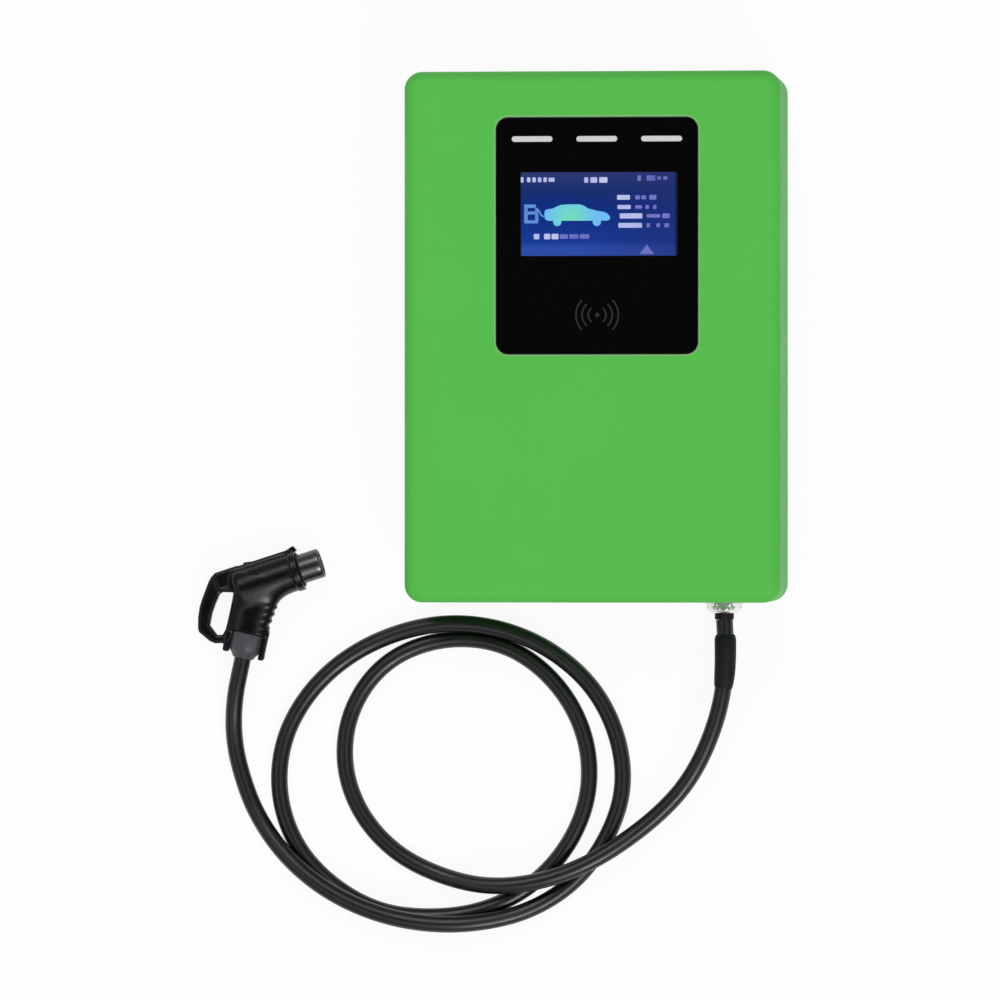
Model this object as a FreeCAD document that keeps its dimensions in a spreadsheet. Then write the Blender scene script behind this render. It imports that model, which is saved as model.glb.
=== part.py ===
import FreeCAD, Part
import Sketcher
import math
import os
import re

# A wall-mounted charging station for electric cars: a formed cabinet with a display, and a
# charging cable that ends in a hand-held connector. Millimetres. The origin is the middle of
# the wall bolts on the wall plane, +X to the right, +Y up the wall, +Z out from the wall.
# The station is stored on its back, so the wall plane is also the floor that the cable lies on.

SIZES = [
    # Cabinet
    ("cabinet_width", 550, "outer width of the front cover"),
    ("cabinet_height", 775, "outer height of the front cover"),
    ("cabinet_depth", 220, "wall plane to the front face"),
    ("cabinet_corner", 26, "radius of the cabinet's outline"),
    ("front_edge", 20, "radius between the front face and the sides"),
    ("cover_wall", 3, "wall of the moulded cover"),
    ("shadow_gap", 6, "wall plane to the cover's rear edge"),
    ("fit_gap", 0.3, "play between pieces that slip together"),
    # Wall bracket
    ("bracket_width", 440, "width over both lips"),
    ("bracket_height", 520, "height of the bracket"),
    ("bracket_depth", 15, "wall plane to the front of the lips"),
    ("bracket_sheet", 3, "sheet of the bracket"),
    ("bracket_lip", 45, "width of each lip"),
    ("bolt_spacing_across", 300, "wall bolts, sideways"),
    ("bolt_spacing_up", 440, "wall bolts, upwards"),
    ("bolt_hole", 11, "diameter of the wall bolt holes"),
    ("hook_width", 30, "width of a hook"),
    ("hook_height", 14, "height of a hook's tip"),
    ("hook_level", 200, "height of the hooks above the origin"),
    ("hook_offset", 196, "hooks and studs to the middle line"),
    ("stud_level", -230, "height of the two lower studs"),
    ("stud_size", 6, "thread of the lower studs"),
    ("stud_reach", 10.5, "lower studs in front of the lips"),
    # Rear chassis
    ("chassis_wall", 2, "sheet of the chassis"),
    ("chassis_front", 105, "wall plane to the front of the chassis rim"),
    ("rim_flange", 14, "width of the flange that carries the seal"),
    ("seal_height", 4, "thickness of the pressed seal"),
    ("seal_width", 11, "width of the seal"),
    ("screw_size", 5, "thread of the cover screws"),
    ("screw_pitch", 250, "spacing of the cover screws up a side"),
    ("screw_level", 60, "cover screws to the wall plane"),
    # Display window
    ("window_width", 295, "width of the black window"),
    ("window_height", 345, "height of the black window"),
    ("window_corner", 18, "corner radius of the window"),
    ("window_drop", 68, "top of the cabinet to the top of the window"),
    ("window_offset", 8, "window's middle to the cabinet's middle line"),
    ("window_thick", 3, "thickness of the window"),
    ("tape_thick", 1, "bonding tape under the window"),
    ("ledge_width", 8, "ledge that carries the window"),
    ("rim_chamfer", 1.2, "bright chamfer round the window recess"),
    ("screen_width", 229, "visible width of the screen"),
    ("screen_height", 122, "visible height of the screen"),
    ("screen_drop", 141, "top of the window to the screen's middle"),
    ("light_length", 56, "length of a light bar"),
    ("light_height", 8.5, "height of a light bar"),
    ("light_pitch", 94.5, "spacing of the light bars"),
    ("light_drop", 31.6, "top of the window to the light bars"),
    ("reader_rise", 58, "foot of the window to the card reader's middle"),
    ("module_thick", 8, "thickness of the screen module"),
    ("carrier_depth", 20, "front face to the carrier plate's front"),
    ("carrier_sheet", 2.5, "thickness of the carrier plate"),
    ("board_thick", 1.6, "thickness of a circuit board"),
    # Inside the chassis
    ("plate_width", 470, "mounting plate width"),
    ("plate_height", 600, "mounting plate height"),
    ("plate_sheet", 2, "mounting plate thickness"),
    ("standoff", 10, "chassis floor to the mounting plate"),
    ("rail_width", 35, "width of a mounting rail"),
    ("rail_depth", 7.5, "depth of a mounting rail"),
    ("device_level", 20, "height of the device rail above the origin"),
    ("device_height", 88, "height of a rail device"),
    ("device_nose", 45, "height of a rail device's nose"),
    ("device_shoulder", 44, "rail to a rail device's shoulder"),
    ("device_depth", 60, "rail to a rail device's nose"),
    ("terminal_level", -190, "height of the terminal rail above the origin"),
    ("supply_side", -150, "supply entry to the middle line"),
    ("vent_side", 150, "breather to the middle line"),
    ("entry_level", -310, "height of the supply entry and the breather"),
    ("supply_hole", 40, "diameter of the supply entry hole"),
    ("toggle_radius", 8.5, "drum of the breaker toggle"),
    # Cable entry
    ("gland_side", 184, "cable gland to the middle line"),
    ("gland_level", 55, "cable gland to the wall plane"),
    ("gland_thread", 40, "thread of the gland"),
    ("gland_hex", 48, "across the flats of the gland's hexagons"),
    ("cable_width", 25, "diameter of the charging cable"),
    ("sleeve_width", 32, "diameter of the kink-guard sleeve"),
    ("sleeve_length", 79, "length of the kink-guard sleeve"),
    # Connector
    ("barrel_radius", 31, "radius of the connector's barrel"),
    ("shell_wall", 3, "wall of the connector's shells"),
    ("nozzle_radius", 21.9, "radius of the plug's nozzle"),
    ("nozzle_root", 22.3, "radius of the nozzle inside the collar and seal"),
    ("nozzle_length", 34, "nozzle in front of the collar"),
    ("nozzle_wall", 3.4, "wall of the nozzle"),
    ("contact_recess", 12, "nozzle's rim to the contact face"),
    ("grip_width", 60, "grip, front to back"),
    ("grip_thick", 42, "grip, side to side"),
    ("grip_lean", 30, "lean of the grip, degrees"),
    ("loop_radius", 9.5, "radius of the hand loop's rod"),
    ("lever_width", 14, "width of the latch lever"),
    ("lever_pin", 2, "radius of the lever's pin"),
]
ALIASES = {alias for alias, number, meaning in SIZES}

doc = FreeCAD.newDocument("charging_station")
sheet = doc.addObject("Spreadsheet::Sheet", "sizes")
for row, (alias, number, meaning) in enumerate(SIZES, start=1):
    sheet.set(f"A{row}", meaning)
    sheet.set(f"B{row}", str(number))
    sheet.setAlias(f"B{row}", alias)
doc.recompute()

Vector = FreeCAD.Vector
X_AXIS = Vector(1, 0, 0)
Y_AXIS = Vector(0, 1, 0)
Z_AXIS = Vector(0, 0, 1)


# Expressions and primitives


def terms(expression):
    """Writes each alias in an expression as a reference to the sheet."""
    def reference(word):
        return "sizes." + word.group() if word.group() in ALIASES else word.group()
    return re.sub(r"[a-z][a-z_0-9]*", reference, str(expression))


def size(expression):
    """The number that an expression in the sheet's aliases stands for."""
    result = sheet.evalExpression(terms(expression))
    return float(getattr(result, "Value", result))


def bind(item, **expressions):
    for name, expression in expressions.items():
        item.setExpression(name, terms(expression))


def place(item, x, y, z, rotation=None):
    """Binds a position to the sheet, with an optional fixed rotation."""
    if rotation:
        item.Placement = FreeCAD.Placement(Vector(), rotation)
    for name, expression in (("x", x), ("y", y), ("z", z)):
        item.setExpression("Placement.Base." + name, terms(expression))
    return item


ALONG = {
    "x": FreeCAD.Rotation(Y_AXIS, 90),
    "y": FreeCAD.Rotation(X_AXIS, -90),
    "z": FreeCAD.Rotation(),
}


def block(name, length, width, height, x, y, z):
    """A box centred on x and y that stands on z."""
    item = doc.addObject("Part::Box", name)
    bind(item, Length=length, Width=width, Height=height)
    return place(item, f"({x}) - ({length}) / 2", f"({y}) - ({width}) / 2", z)


def rod(name, radius, length, x, y, z, along="z"):
    """A cylinder that starts at x, y, z and runs along one axis."""
    item = doc.addObject("Part::Cylinder", name)
    bind(item, Radius=radius, Height=length)
    return place(item, x, y, z, ALONG[along])


def cone(name, first, last, length, x, y, z, along="z"):
    item = doc.addObject("Part::Cone", name)
    bind(item, Radius1=first, Radius2=last, Height=length)
    return place(item, x, y, z, ALONG[along])


def prism(name, sides, flats, length, x, y, z, along="z"):
    """A regular prism, sized across its flats."""
    item = doc.addObject("Part::Prism", name)
    item.Polygon = sides
    bind(item, Circumradius=f"({flats}) / 2 / cos(180 / {sides})", Height=length)
    return place(item, x, y, z, ALONG[along])


def fuse(name, *items):
    item = doc.addObject("Part::MultiFuse", name)
    item.Shapes = list(items)
    return item


def common(name, *items):
    item = doc.addObject("Part::MultiCommon", name)
    item.Shapes = list(items)
    return item


def cut(name, base, *tools):
    """The base less every tool."""
    item = doc.addObject("Part::Cut", name)
    item.Base = base
    item.Tool = tools[0] if len(tools) == 1 else fuse(name + "_tools", *tools)
    return item


def group(name, *items):
    """Separate solids kept together as one node."""
    item = doc.addObject("Part::Compound", name)
    item.Links = list(items)
    return item


# Sketches and features


def new_body(name):
    return doc.addObject("PartDesign::Body", name)


def sketch_on(body, role, offset="0"):
    """A sketch on one of the body's own planes, moved along the plane's normal."""
    item = body.newObject("Sketcher::SketchObject", body.Name + "_sketch")
    plane = next(part for part in body.Origin.OriginFeatures if part.Role == role)
    item.AttachmentSupport = (plane, [""])
    item.MapMode = "FlatFace"
    item.setExpression("AttachmentOffset.Base.z", terms(offset))
    return item


def hold(item, kind, *target):
    """Adds a dimension whose value is an expression, the last item of target."""
    *where, expression = target
    number = item.addConstraint(Sketcher.Constraint(kind, *where, size(expression)))
    item.setExpression(f"Constraints[{number}]", terms(expression))


def draw_outline(item, corners):
    """A closed outline of straight lines through corners given as pairs of expressions."""
    points = [Vector(size(x), size(y), 0) for x, y in corners]
    first = item.GeometryCount
    count = len(points)
    for number in range(count):
        line = Part.LineSegment(points[number], points[(number + 1) % count])
        item.addGeometry(line, False)
    for number in range(count):
        ends = (first + number, 2, first + (number + 1) % count, 1)
        item.addConstraint(Sketcher.Constraint("Coincident", *ends))
    for number, (x, y) in enumerate(corners):
        hold(item, "DistanceX", -1, 1, first + number, 1, x)
        hold(item, "DistanceY", -1, 1, first + number, 1, y)


def draw_panel(item, width, height, corner, x="0", y="0"):
    """A rectangle with rounded corners, centred on x and y."""
    half_w = size(width) / 2
    half_h = size(height) / 2
    radius = size(corner)
    middle = Vector(size(x), size(y), 0)
    signs = ((1, -1), (1, 1), (-1, 1), (-1, -1))
    centres = [middle + Vector(a * (half_w - radius), b * (half_h - radius), 0) for a, b in signs]
    first = item.GeometryCount
    for number, centre in enumerate(centres):
        start = math.radians(90 * number - 90)
        circle = Part.Circle(centre, Z_AXIS, radius)
        item.addGeometry(Part.ArcOfCircle(circle, start, start + math.pi / 2), False)
    for number, direction in enumerate(((0, -1), (1, 0), (0, 1), (-1, 0))):
        out = radius * Vector(*direction, 0)
        line = Part.LineSegment(centres[number - 1] + out, centres[number] + out)
        item.addGeometry(line, False)
    for number in range(4):
        line = first + 4 + number
        item.addConstraint(Sketcher.Constraint("Tangent", first + (number - 1) % 4, 2, line, 1))
        item.addConstraint(Sketcher.Constraint("Tangent", line, 2, first + number, 1))
        item.addConstraint(Sketcher.Constraint(("Horizontal", "Vertical")[number % 2], line))
    for number in range(1, 4):
        item.addConstraint(Sketcher.Constraint("Equal", first, first + number))
    hold(item, "Radius", first, corner)
    for number, (a, b) in ((0, signs[0]), (2, signs[2])):
        across = f"({x}) + {a} * (({width}) / 2 - ({corner}))"
        along = f"({y}) + {b} * (({height}) / 2 - ({corner}))"
        hold(item, "DistanceX", -1, 1, first + number, 3, across)
        hold(item, "DistanceY", -1, 1, first + number, 3, along)


def draw_circle(item, radius, x="0", y="0"):
    number = item.addGeometry(Part.Circle(Vector(size(x), size(y), 0), Z_AXIS, size(radius)), False)
    hold(item, "Radius", number, radius)
    hold(item, "DistanceX", -1, 1, number, 3, x)
    hold(item, "DistanceY", -1, 1, number, 3, y)


def pad(body, sketch, length, backwards=False):
    item = body.newObject("PartDesign::Pad", body.Name + "_pad")
    item.Profile = sketch
    item.Reversed = backwards
    item.setExpression("Length", terms(length))
    doc.recompute()
    return item


def pocket(body, sketch, length, backwards=False):
    """A pocket that must take material away."""
    before = body.Shape.Volume
    item = body.newObject("PartDesign::Pocket", body.Name + "_pocket")
    item.Profile = sketch
    item.Reversed = backwards
    item.setExpression("Length", terms(length))
    doc.recompute()
    if not body.Shape.Volume < before - 1e-3:
        raise RuntimeError("a pocket cuts nothing in " + body.Name)
    return item


def revolve(body, sketch):
    """A full turn about the sketch's horizontal axis."""
    item = body.newObject("PartDesign::Revolution", body.Name + "_turn")
    item.Profile = sketch
    item.ReferenceAxis = (sketch, ["H_Axis"])
    item.Angle = 360
    doc.recompute()
    return item


def edges_where(shape, test):
    """Names of the edges whose box passes a test."""
    return [f"Edge{n}" for n, edge in enumerate(shape.Edges, start=1) if test(edge.BoundBox)]


def round_edges(body, radius, test, kind="Fillet"):
    """A fillet or chamfer on the body's edges that pass a test."""
    names = edges_where(body.Shape, test)
    base = body.Tip
    item = body.newObject("PartDesign::" + kind, body.Name + "_" + kind.lower())
    item.Base = (base, names)
    item.setExpression("Radius" if kind == "Fillet" else "Size", terms(radius))
    doc.recompute()
    return item


def panel_body(name, base, thick, width, height, corner, x="0", y="0", taper=0):
    """A flat plate with rounded corners, its rear face at the level named base."""
    body = new_body(name)
    outline = sketch_on(body, "XY_Plane", base)
    draw_panel(outline, width, height, corner, x, y)
    plate = pad(body, outline, thick)
    plate.TaperAngle = taper
    doc.recompute()
    return body


def ring_body(name, base, thick, outer, inner):
    """A flat ring between two rounded rectangles centred on the cabinet."""
    body = new_body(name)
    outline = sketch_on(body, "XY_Plane", base)
    draw_panel(outline, *outer)
    draw_panel(outline, *inner)
    pad(body, outline, thick)
    return body


NODES = []


def node(label, item):
    """Marks a finished piece, which is written to a file of this name."""
    item.Label = label
    NODES.append(item)
    return item


# Places worked out from the sizes

WINDOW_X = "window_offset"
WINDOW_TOP = "(cabinet_height / 2 - window_drop)"
WINDOW_Y = f"({WINDOW_TOP} - window_height / 2)"
SCREEN_Y = f"({WINDOW_TOP} - screen_drop)"
LIGHT_Y = f"({WINDOW_TOP} - light_drop)"
READER_Y = f"({WINDOW_TOP} - window_height + reader_rise)"
WINDOW_BACK = "(cabinet_depth - window_thick)"
LEDGE_FRONT = f"({WINDOW_BACK} - tape_thick)"
LEDGE_BACK = f"({LEDGE_FRONT} - cover_wall)"
CARRIER_FRONT = "(cabinet_depth - carrier_depth)"
CARRIER_BACK = f"({CARRIER_FRONT} - carrier_sheet)"
CHASSIS_WIDTH = "(cabinet_width - 2 * (cover_wall + fit_gap))"
CHASSIS_HEIGHT = "(cabinet_height - 2 * (cover_wall + fit_gap))"
CHASSIS_CORNER = "(cabinet_corner - cover_wall - fit_gap)"
CHASSIS_FLOOR = "(bracket_depth + chassis_wall)"
CHASSIS_BOTTOM = f"({CHASSIS_HEIGHT} / 2)"
PLATE_BACK = f"({CHASSIS_FLOOR} + standoff)"
PLATE_FRONT = f"({PLATE_BACK} + plate_sheet)"
RAIL_FRONT = f"({PLATE_FRONT} + rail_depth)"
LIP_MIDDLE = "(bracket_width / 2 - bracket_lip / 2)"
SIDES = (-1, 1)


# Wall bracket


def make_bracket():
    """A formed steel channel: web on the wall, lips forward, hooks that the chassis hangs on."""
    body = new_body("wall_bracket_channel")
    profile = sketch_on(body, "XZ_Plane", "-bracket_height / 2")
    outer = "bracket_width / 2"
    bend = "(bracket_width / 2 - bracket_lip)"
    inner = f"({bend} - bracket_sheet)"
    low = "bracket_sheet"
    high = "(bracket_depth - bracket_sheet)"
    draw_outline(profile, [
        (f"-{bend}", "0"), (bend, "0"), (bend, high), (outer, high),
        (outer, "bracket_depth"), (inner, "bracket_depth"), (inner, low), (f"-{inner}", low),
        (f"-{inner}", "bracket_depth"), (f"-{outer}", "bracket_depth"), (f"-{outer}", high),
        (f"-{bend}", high),
    ])
    pad(body, profile, "bracket_height")
    holes = sketch_on(body, "XY_Plane", "bracket_sheet")
    for a in SIDES:
        for b in SIDES:
            x = f"{a} * bolt_spacing_across / 2"
            y = f"{b} * bolt_spacing_up / 2"
            draw_circle(holes, "bolt_hole / 2", x, y)
    pocket(body, holes, "bracket_sheet")
    hooks = []
    tip_back = f"({CHASSIS_FLOOR} + fit_gap)"
    for a in SIDES:
        x = f"{a} * hook_offset"
        neck = f"{tip_back} + bracket_sheet - bracket_depth"
        hooks.append(block("hook_neck", "hook_width", "bracket_sheet", neck,
                           x, "hook_level + bracket_sheet / 2", "bracket_depth"))
        hooks.append(block("hook_tip", "hook_width", "hook_height", "bracket_sheet",
                           x, "hook_level + hook_height / 2", tip_back))
    return node("wall_bracket", fuse("wall_bracket_all", body, *hooks, *make_bracket_studs()))


def make_bracket_studs():
    """Two press-in studs in the lips, which hold the foot of the chassis."""
    items = []
    for a in SIDES:
        x = f"{a} * hook_offset"
        items.append(rod("stud_shank", "stud_size / 2", "bracket_sheet + stud_reach",
                         x, "stud_level", "bracket_depth - bracket_sheet"))
    return items


def make_stud_nuts():
    nuts = []
    for a in SIDES:
        x = f"{a} * hook_offset"
        body = prism("nut_hex", 6, "10", "5", x, "stud_level", f"{CHASSIS_FLOOR} + 1.5")
        flange = rod("nut_flange", "7", "1.5", x, "stud_level", CHASSIS_FLOOR)
        bore = rod("nut_bore", "stud_size / 2", "8", x, "stud_level", CHASSIS_FLOOR)
        nuts.append(cut("stud_nut", fuse("nut_solid", body, flange), bore))
    return node("stud_nuts", group("stud_nuts_all", *nuts))


# Rear chassis


def make_chassis():
    """A deep steel tray with a return flange round its rim."""
    body = new_body("rear_chassis_tray")
    outline = sketch_on(body, "XY_Plane", "bracket_depth")
    draw_panel(outline, CHASSIS_WIDTH, CHASSIS_HEIGHT, CHASSIS_CORNER)
    pad(body, outline, "chassis_front - bracket_depth")
    mouth = sketch_on(body, "XY_Plane", "chassis_front")
    draw_panel(mouth, f"{CHASSIS_WIDTH} - 2 * rim_flange", f"{CHASSIS_HEIGHT} - 2 * rim_flange",
               f"{CHASSIS_CORNER} - rim_flange")
    pocket(body, mouth, "chassis_wall")
    inside = sketch_on(body, "XY_Plane", "chassis_front - chassis_wall")
    draw_panel(inside, f"{CHASSIS_WIDTH} - 2 * chassis_wall",
               f"{CHASSIS_HEIGHT} - 2 * chassis_wall", f"{CHASSIS_CORNER} - chassis_wall")
    pocket(body, inside, f"chassis_front - chassis_wall - {CHASSIS_FLOOR}")
    floor = sketch_on(body, "XY_Plane", CHASSIS_FLOOR)
    for a in SIDES:
        x = f"{a} * hook_offset"
        draw_circle(floor, "stud_size / 2 + fit_gap", x, "stud_level")
    draw_circle(floor, "supply_hole / 2", "supply_side", "entry_level")
    draw_circle(floor, "6.2", "vent_side", "entry_level")
    pocket(body, floor, "chassis_wall")
    slots = sketch_on(body, "XY_Plane", CHASSIS_FLOOR)
    slot_height = "(hook_height + bracket_sheet + 5)"
    for a in SIDES:
        draw_panel(slots, "hook_width + 4", slot_height, "2", f"{a} * hook_offset",
                   f"hook_level + bracket_sheet + fit_gap - {slot_height} / 2")
    pocket(body, slots, "chassis_wall")
    gland = rod("gland_hole", "gland_thread / 2 + fit_gap", "3 * chassis_wall",
                "gland_side", f"-{CHASSIS_BOTTOM} - chassis_wall", "gland_level", "y")
    drills = [gland]
    for row in (-1, 0, 1):
        drills.append(rod("rim_drill", "screw_size / 2 + fit_gap / 2", "cabinet_width",
                          "-cabinet_width / 2", f"{row} * screw_pitch", "screw_level", "x"))
    return node("rear_chassis", cut("rear_chassis_all", body, *drills))


def make_cover_seal():
    """A soft seal on the chassis flange, pressed by the ledge inside the cover."""
    rings = [(f"{CHASSIS_WIDTH} - 2 * ({step})", f"{CHASSIS_HEIGHT} - 2 * ({step})",
              f"{CHASSIS_CORNER} - ({step})") for step in ("1.5", "1.5 + seal_width")]
    return node("cover_seal", ring_body("seal_ring", "chassis_front", "seal_height", *rings))


# Front cover


def make_cover_shell():
    """The moulded shell: outer form less inner form, both with rounded front edges."""
    outer = panel_body("cover_outer", "shadow_gap", "cabinet_depth - shadow_gap",
                       "cabinet_width", "cabinet_height", "cabinet_corner")
    front = size("cabinet_depth")
    round_edges(outer, "front_edge", lambda box: box.ZMin > front - 0.01)
    inner = panel_body("cover_inner", "shadow_gap - 1",
                       "cabinet_depth - cover_wall - shadow_gap + 1",
                       "cabinet_width - 2 * cover_wall", "cabinet_height - 2 * cover_wall",
                       "cabinet_corner - cover_wall")
    hollow = size("cabinet_depth - cover_wall")
    round_edges(inner, "front_edge - cover_wall", lambda box: box.ZMin > hollow - 0.01)
    ledge = panel_body("window_ledge", LEDGE_BACK, f"cabinet_depth - {LEDGE_BACK} - 1",
                       "window_width + 2 * cover_wall", "window_height + 2 * cover_wall",
                       "window_corner + cover_wall", WINDOW_X, WINDOW_Y)
    reach = "(cover_wall + fit_gap + rim_flange)"
    rib = ring_body("seal_ledge", "chassis_front + seal_height", "cover_wall",
                    ("cabinet_width - cover_wall", "cabinet_height - cover_wall",
                     "cabinet_corner - cover_wall / 2"),
                    (f"cabinet_width - 2 * {reach}", f"cabinet_height - 2 * {reach}",
                     f"cabinet_corner - {reach}"))
    posts = [rod("cover_post", "5", f"{LEDGE_FRONT} - {CARRIER_FRONT} + cover_wall / 2",
                 x, y, CARRIER_FRONT) for x, y in carrier_posts()]
    return fuse("cover_solid", cut("cover_wall_only", outer, inner), ledge, rib, *posts)


def make_front_cover():
    """The shell with its window recess, screw holes and the notch that passes the gland."""
    tools = [
        panel_body("window_recess", LEDGE_FRONT, f"cabinet_depth - {LEDGE_FRONT} + 1",
                   "window_width", "window_height", "window_corner", WINDOW_X, WINDOW_Y),
        panel_body("recess_flare", "cabinet_depth - rim_chamfer", "rim_chamfer + 1",
                   "window_width", "window_height", "window_corner", WINDOW_X, WINDOW_Y, 45),
        panel_body("window_opening", f"{LEDGE_BACK} - 1", "cover_wall + 2",
                   "window_width - 2 * ledge_width", "window_height - 2 * ledge_width",
                   "window_corner - ledge_width", WINDOW_X, WINDOW_Y),
    ]
    for x, y in carrier_posts():
        tools.append(rod("post_pilot", "1.5", "10", x, y, CARRIER_FRONT))
    for row in (-1, 0, 1):
        y = f"{row} * screw_pitch"
        tools.append(rod("skirt_drill", "screw_size / 2 + fit_gap", "cabinet_width + 2",
                         "-cabinet_width / 2 - 1", y, "screw_level", "x"))
        tools.append(cone("skirt_sink", "screw_size + fit_gap", "screw_size / 2", "screw_size / 2",
                          "-cabinet_width / 2", y, "screw_level", "x"))
        tools.append(cone("skirt_sink", "screw_size / 2", "screw_size + fit_gap", "screw_size / 2",
                          "cabinet_width / 2 - screw_size / 2", y, "screw_level", "x"))
    notch = "(gland_hex / 2 / cos(30) + 3)"
    bottom = "(-cabinet_height / 2 - 1)"
    tools.append(rod("notch_round", notch, "2 * cover_wall", "gland_side", bottom,
                     "gland_level", "y"))
    tools.append(block("notch_mouth", f"2 * {notch}", "2 * cover_wall", "gland_level",
                       "gland_side", f"{bottom} + cover_wall", "0"))
    return node("front_cover", cut("front_cover_all", make_cover_shell(), *tools))


def carrier_posts():
    """Places of the four posts that hold the display carrier, outside the window's ledge."""
    across = "(window_width / 2 + 12)"
    up = "(window_height / 2 - 50)"
    places = []
    for a in SIDES:
        for b in SIDES:
            places.append((f"{WINDOW_X} + {a} * {across}", f"{WINDOW_Y} + {b} * {up}"))
    return places


def make_cover_screws():
    """Countersunk screws with hexagon sockets through the skirt into the chassis rim."""
    screws = []
    for side in SIDES:
        for row in (-1, 0, 1):
            y = f"{row} * screw_pitch"
            length = "16"
            if side > 0:
                start = f"cabinet_width / 2 - {length}"
                head = ("screw_size / 2 - 0.1", "screw_size", "cabinet_width / 2 - screw_size / 2")
                socket = "cabinet_width / 2 - 2"
            else:
                start = "-cabinet_width / 2"
                head = ("screw_size", "screw_size / 2 - 0.1", "-cabinet_width / 2")
                socket = "-cabinet_width / 2"
            shank = rod("screw_shank", "screw_size / 2 - 0.1", length, start, y, "screw_level", "x")
            top = cone("screw_head", head[0], head[1], "screw_size / 2", head[2], y,
                       "screw_level", "x")
            drive = prism("screw_drive", 6, "3", "2", socket, y, "screw_level", "x")
            screws.append(cut("cover_screw", fuse("screw_solid", shank, top), drive))
    return node("cover_screws", group("cover_screws_all", *screws))


# Display


def make_window():
    """The black window with its screen opening and three slots for the light bars."""
    plate = panel_body("window_plate", WINDOW_BACK, "window_thick",
                       "window_width - 2 * fit_gap", "window_height - 2 * fit_gap",
                       "window_corner - fit_gap", WINDOW_X, WINDOW_Y)
    front = size("cabinet_depth")
    round_edges(plate, "0.5", lambda box: box.ZMin > front - 0.01, "Chamfer")
    through = ("window_thick + 2",)
    tools = [panel_body("screen_opening", f"{WINDOW_BACK} - 1", *through,
                        "screen_width", "screen_height", "3", WINDOW_X, SCREEN_Y)]
    for row in (-1, 0, 1):
        tools.append(panel_body("light_slot", f"{WINDOW_BACK} - 1", *through, "light_length",
                                "light_height", "light_height / 2 - 0.1",
                                f"{WINDOW_X} + {row} * light_pitch", LIGHT_Y))
    return node("display_window", cut("display_window_all", plate, *tools))


def make_window_tape():
    body = new_body("window_tape_ring")
    outline = sketch_on(body, "XY_Plane", LEDGE_FRONT)
    for inset in ("1", "ledge_width - 1"):
        draw_panel(outline, f"window_width - 2 * ({inset})", f"window_height - 2 * ({inset})",
                   f"window_corner - ({inset})", WINDOW_X, WINDOW_Y)
    pad(body, outline, "tape_thick")
    return node("window_tape", body)


def make_screen():
    glass = panel_body("screen_glass", WINDOW_BACK, "window_thick - 0.2",
                       "screen_width - fit_gap", "screen_height - fit_gap", "2.8",
                       WINDOW_X, SCREEN_Y)
    node("lcd_screen", glass)
    case = panel_body("module_case", f"{WINDOW_BACK} - module_thick", "module_thick",
                      "screen_width + 18", "screen_height + 16", "3", WINDOW_X, SCREEN_Y)
    return node("lcd_module", case)


def make_light_guides():
    """Opal bars whose fronts fill the slots and whose flanges sit behind the window."""
    for name, row in (("left", -1), ("middle", 0), ("right", 1)):
        x = f"{WINDOW_X} + {row} * light_pitch"
        front = panel_body(f"light_front_{name}", WINDOW_BACK, "window_thick",
                           "light_length - fit_gap", "light_height - fit_gap",
                           "light_height / 2 - fit_gap", x, LIGHT_Y)
        flange = block(f"light_flange_{name}", "light_length + 8", "light_height + 6", "2.5",
                       x, LIGHT_Y, f"{WINDOW_BACK} - 2.5")
        node(f"light_guide_{name}", fuse(f"light_guide_{name}_all", front, flange))


def make_led_board():
    """A strip of circuit board with three small lamps behind each light bar."""
    level = f"({WINDOW_BACK} - 2.5 - 0.3)"
    lamps = []
    for row in (-1, 0, 1):
        for spot in (-1, 0, 1):
            x = f"{WINDOW_X} + {row} * light_pitch + {spot} * light_length / 3"
            lamps.append(block("lamp", "3.5", "2.8", "1.2", x, LIGHT_Y, f"{level} - 1.2"))
    strip = block("led_strip", "2 * light_pitch + light_length + 12", "18", "board_thick",
                  WINDOW_X, LIGHT_Y, f"{level} - 1.2 - board_thick")
    return node("led_board", fuse("led_board_all", strip, *lamps))


def make_reader_board():
    """The contactless card reader: a board with its aerial tracks and a shield can."""
    level = f"({WINDOW_BACK} - 2)"
    board = block("reader_plate", "110", "74", "board_thick", WINDOW_X, READER_Y,
                  f"{level} - board_thick")
    tracks = ring_body("aerial_tracks", level, "0.4", ("100", "64", "8", WINDOW_X, READER_Y),
                       ("92", "56", "4", WINDOW_X, READER_Y))
    shield = block("shield_can", "34", "26", "4", f"{WINDOW_X} + 20", READER_Y,
                   f"{level} - board_thick - 4")
    return node("reader_board", fuse("reader_board_all", board, tracks, shield))


def post_row(name, spots, radius, top):
    """Posts from the carrier's front up to a level."""
    return [rod(name, radius, f"{top} - {CARRIER_FRONT}", x, y, CARRIER_FRONT) for x, y in spots]


def corner_spots(x, y, across, up):
    return [(f"{x} + {a} * {across}", f"{y} + {b} * {up}") for a in SIDES for b in SIDES]


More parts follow.
